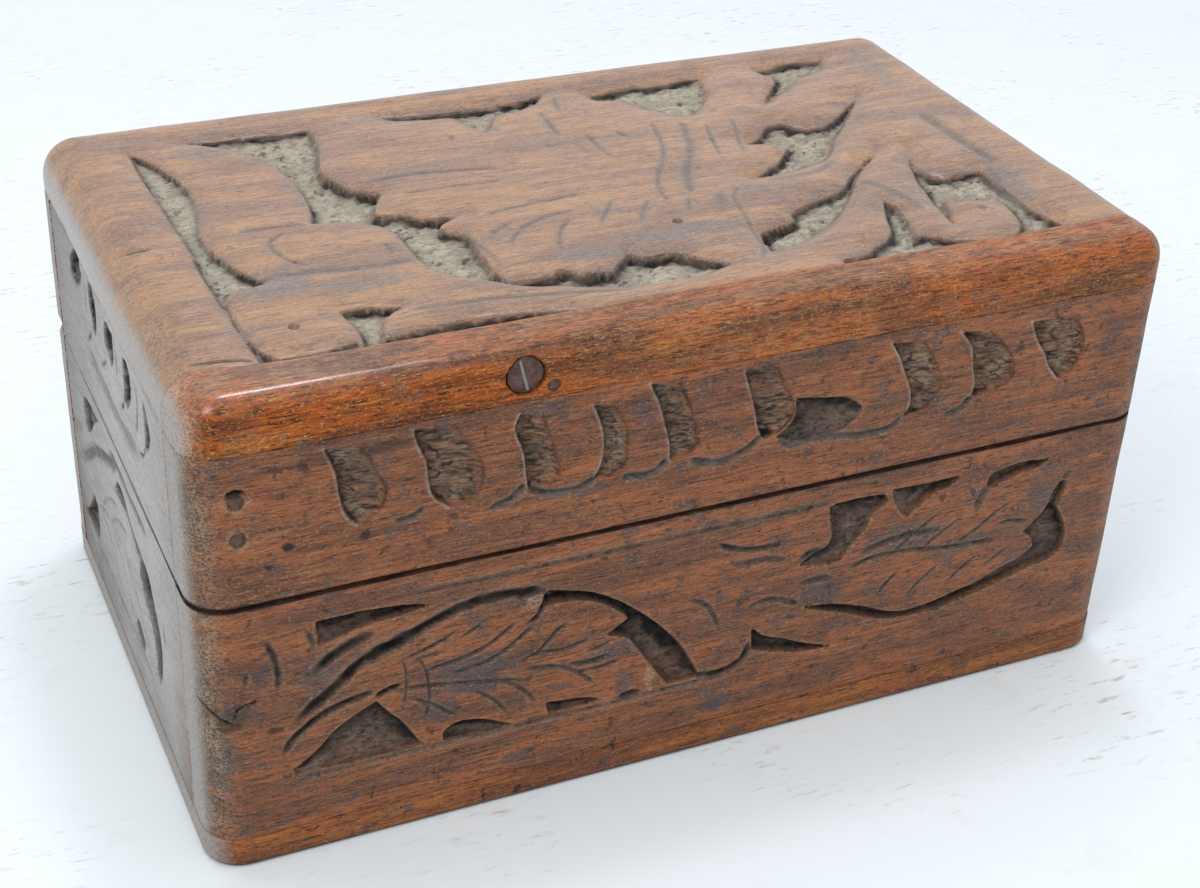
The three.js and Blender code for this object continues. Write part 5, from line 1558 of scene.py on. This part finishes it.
back_radius, front_radius = 7, 4
side_roll = back_radius * math.pi / 2 + 2.5
front_roll = front_radius * math.pi / 2 + 5.5
across = ticks((-flat_x - side_roll, -79, 0.6), (-79, 79, 0.44), (79, flat_x + side_roll, 0.6))
up = ticks((-44.45, 46, 0.44), (46, 47.2 + side_roll, 0.6))
mesh, at, rim = sheet(across, up)
fields = carve(at, rim, shifted(bird_marks, (-0.7, -1.3)) + vein_marks, 0.44)
worn_in = fields["down"] + 0.12 * (1 + mottle(at, (19, 12), 141))
worn_in += 0.05 * (1 + mottle(at, (6, 3), 142))
worn_in += round_over(at[:, 1] + 44.45, 0.3)
bent = at[:, 1] + (joint_line(at[:, 0]) + 44.5) * fade(-at[:, 1], 36, 44.4)
outside = over_arrises(at[:, 0], bent, back_radius, worn_in)
share = np.where(outside[:, 0] < 0, 1, 0.35)
reach = np.abs(outside[:, 0])
fields["tan"] = 0.9 * fade(reach, 79, 87.5) * (0.45 + 0.55 * fade(-at[:, 1], -20, 40)) * share
# The sides bleached grey with a painted sheen, far more on the left.
fields["bleach_and_sheen"] = 0.95 * fade(reach, 88.2, 89.8) * share
inside = outside.copy()
inside[:, 2] = top_under
board("bird_panel", mesh, outside, inside, fields, top_wood, "lid", "top_panel", "top_wood")

# Lid, front strip
# A separate strip of glossier, more orange sheesham let in along the top's front edge, screwed and
# nailed to the board behind it. Its arris is worn to a small round.
strip_tones = {
    **case_tones, "brown": "#6A3010", "warm": "#B0540E", "dark": "#35190C", "pore": "#180C07",
    "light": "#E6BA68", "veil": "#77594C", "streaks": 0.8, "film": 0.5,
    "pores": 0.85, "specks": 0.45, "spots": 0.55, "rim": "#C29A66", "tan": "#C69A72",
    "raw": "#3A2A1E", "dust": "#5E4C3A", "pits": 0.5,
    "cover": 0.85, "soot_and_shade_tone": "#150C07", "bloom": 0.02, "gloss": 0.15,
}
strip_wood = wood("sheesham_front_strip", 0, strip_tones, rough=0.3, lacquer=0.06)
# The screw's and the nail's holes lie on the strip's front, below its arris on the flat sheet.
strip_marks = [
    hollow(-35, -57.45, 3.3, 1.1, grime=0.9, rim=0.2),
    hollow(-30.2, -60, 1.1, 0.25, grime=0.9),
    stain(-80, -60.5, 6, 2.5, 0.4, seed=151, field="worn"),
]
up = ticks((-50.2 - front_roll, -44.55, 0.4))
mesh, at, rim = sheet(across, up)
fields = carve(at, rim, strip_marks, 0.4)
worn_in = fields["down"] + 0.06 * (1 + mottle(at, (21, 6), 152))
worn_in += 0.03 * (1 + mottle(at, (5, 3), 153))
worn_in += round_over(-44.55 - at[:, 1], 0.3)
bent = at[:, 1] + (joint_line(at[:, 0]) + 44.5) * fade(at[:, 1], -52, -44.6)
outside = over_arrises(at[:, 0], bent, front_radius, worn_in)
inside = outside.copy()
inside[:, 2] = top_under
# The upper rounding paler tan: partly rubbed, partly a painted sheen.
rubbed_and_sheen = 0.6 * fade(at[:, 1], -55, -50.5) * (0.85 + 0.3 * mottle(at, (9, 2), 154))
share = np.where(outside[:, 0] < 0, 1, 0.35)
reach = np.abs(outside[:, 0])
duller = 0.32 * fade(at[:, 0], -45, -5) * (1 - 0.5 * fade(at[:, 0], 10, 50))
fields["tan"] = np.maximum(0.9 * fade(reach, 85.6, 87.8) * share, np.maximum(rubbed_and_sheen, duller))
# Its left side bleached grey with a painted sheen.
fields["bleach_and_sheen"] = 0.95 * fade(reach, 87.6, 89.6) * share
fields["polish"] = fade(at[:, 1], -56.5, -53) * (1 - fields["bleach_and_sheen"])
fields["polish"] *= 0.4 + 0.6 * fade(-at[:, 0], 20, 75)
board("strip_board", mesh, outside, inside, fields, strip_wood, "lid", "front_strip", "strip_wood")

# Nails, screws and hinges
# Old iron, hand-driven: flat nail heads set just under the wood, slotted countersunk screws and two
# small butt hinges, all dark brown with rust and grease.
iron = bpy.data.materials.new("rusted_iron")
iron.use_nodes = True
tree = iron.node_tree
tree.nodes.clear()
place = put(tree, "ShaderNodeTexCoord", {}, out="Object")
rust = put(
    tree, "ShaderNodeTexNoise", {"Vector": place, "Scale": 1200, "Detail": 5, "Roughness": 0.75},
)
rusty = put(
    tree, "ShaderNodeMapRange", {0: rust, 1: 0.35, 2: 0.65}, interpolation_type="SMOOTHSTEP",
)
colour = put(
    tree, "ShaderNodeMix", {0: rusty, 6: paint("#3A261E"), 7: paint("#6E5346")}, out=2,
    data_type="RGBA",
)
dusty = put(tree, "ShaderNodeAttribute", {}, out="Fac", attribute_name="dusty")
colour = put(
    tree, "ShaderNodeMix", {0: dusty, 6: colour, 7: paint("#98948E")}, out=2, data_type="RGBA",
)
dull = put(tree, "ShaderNodeMapRange", {0: rust, 1: 0.3, 2: 0.7, 3: 0.55, 4: 0.8})
relief = put(tree, "ShaderNodeBump", {"Strength": 0.5, "Distance": 0.0001, "Height": rust})
body = put(
    tree, "ShaderNodeBsdfPrincipled",
    {"Base Color": colour, "Metallic": 0.4, "Roughness": dull, "Normal": relief},
)
put(tree, "ShaderNodeOutputMaterial", {0: body})
for name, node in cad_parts.items():
    if any(word in name for word in ("nail", "screw", "hinge")):
        node.data.materials.clear()
        node.data.materials.append(iron)


def driven(name, node, body, spot, inward, parts, sides, seed, slot_turn=None):
    """A nail or screw: stacked round parts of (radius, radius, from, to), in mm along its axis. A
    head without a slot is hammered out of round."""
    slot_width, slot_depth, flat_gap = 0.0005, 0.0002, 1e-7
    bm = bmesh.new()
    dusty = bm.verts.layers.float.new("dusty")
    for near_radius, far_radius, start, end in parts:
        made = bmesh.ops.create_cone(
            bm, cap_ends=True, segments=sides, radius1=near_radius / 1000,
            radius2=far_radius / 1000, depth=(end - start) / 1000,
        )
        bmesh.ops.translate(bm, verts=made["verts"], vec=(0, 0, (start + end) / 2000))
    front_face = min(bm.faces, key=lambda f: f.calc_center_median().z)
    bmesh.ops.bevel(
        bm, geom=list(front_face.edges), offset=0.00016, segments=3, profile=0.5, affect="EDGES",
        material=-1
    )
    if slot_turn is None:
        for vertex in bm.verts:
            turn = math.atan2(vertex.co.y, vertex.co.x)
            bent = 0.96 + 0.08 * math.sin(3 * turn + seed) + 0.07 * math.sin(4 * turn + 2 * seed)
            vertex.co.x *= bent
            vertex.co.y *= bent
    else:
        level_z = min(v.co.z for v in bm.verts)
        across = Vector((math.cos(slot_turn), math.sin(slot_turn), 0))
        for shift in (0, slot_width):
            flat = [f for f in bm.faces if all(abs(v.co.z - level_z) < flat_gap for v in f.verts)]
            near = flat + [e for f in flat for e in f.edges] + [v for f in flat for v in f.verts]
            bmesh.ops.bisect_plane(
                bm, geom=list(set(near)), plane_co=across * shift, plane_no=across,
            )
        flat = [f for f in bm.faces if all(abs(v.co.z - level_z) < flat_gap for v in f.verts)]
        slot = min(flat, key=lambda f: abs(f.calc_center_median().dot(across) - slot_width / 2))
        sunk = bmesh.ops.extrude_discrete_faces(bm, faces=[slot])["faces"][0]
        bmesh.ops.translate(bm, verts=sunk.verts, vec=(0, 0, slot_depth))
        for vertex in sunk.verts:
            vertex[dusty] = 1
    bmesh.ops.recalc_face_normals(bm, faces=bm.faces)
    turn = Vector(inward).to_track_quat("Z", "Y").to_matrix().to_4x4()
    bmesh.ops.transform(bm, matrix=Matrix.Translation(Vector(spot) / 1000) @ turn, verts=bm.verts)
    for face in bm.faces:
        face.smooth = True
    mesh = bpy.data.meshes.new(name)
    bm.to_mesh(mesh)
    bm.free()
    mesh.set_sharp_from_angle(angle=math.radians(35))
    fasten(bpy.data.objects.new(name, mesh), body, [node], "iron", iron)


nail_x = 82
nail_parts = [(1.26, 1.26, 0.12, 0.8), (0.7, 0.7, 0.5, 22), (0.7, 0.1, 21.5, 24)]
for face_name, facing in (("front", -1), ("back", 1)):
    for end_name, end in (("left", -1), ("right", 1)):
        for body_name, heights in (("base", (14, 33.3)), ("lid", (66.3, 73))):
            for i, height in enumerate(heights, 1):
                node = f"{body_name}_{face_name}_{end_name}_nail_{i}"
                spot = (end * nail_x, facing * half_depth, height)
                driven(
                    f"{node}_driven", node, body_name, spot, (0, -facing, 0), nail_parts,
                    sides=14, seed=i + end,
                )
screw_parts = [
    (3.1, 3.1, 0.5, 1.1), (3.1, 1.3, 1.0, 3), (1.3, 1.3, 2.9, 16.5), (1.3, 0.1, 16.4, 19),
]
driven(
    "strip_screw_driven", "strip_screw", "lid", (-35, -half_depth, 86), (0, 1, 0), screw_parts,
    sides=28, seed=1, slot_turn=-0.25,
)
driven(
    "strip_nail_driven", "strip_nail", "lid", (-30.2, -half_depth, 83.6), (0, 1, 0),
    [(1, 1, 0.2, 0.8), (0.6, 0.6, 0.5, 18.5)], sides=12, seed=5,
)
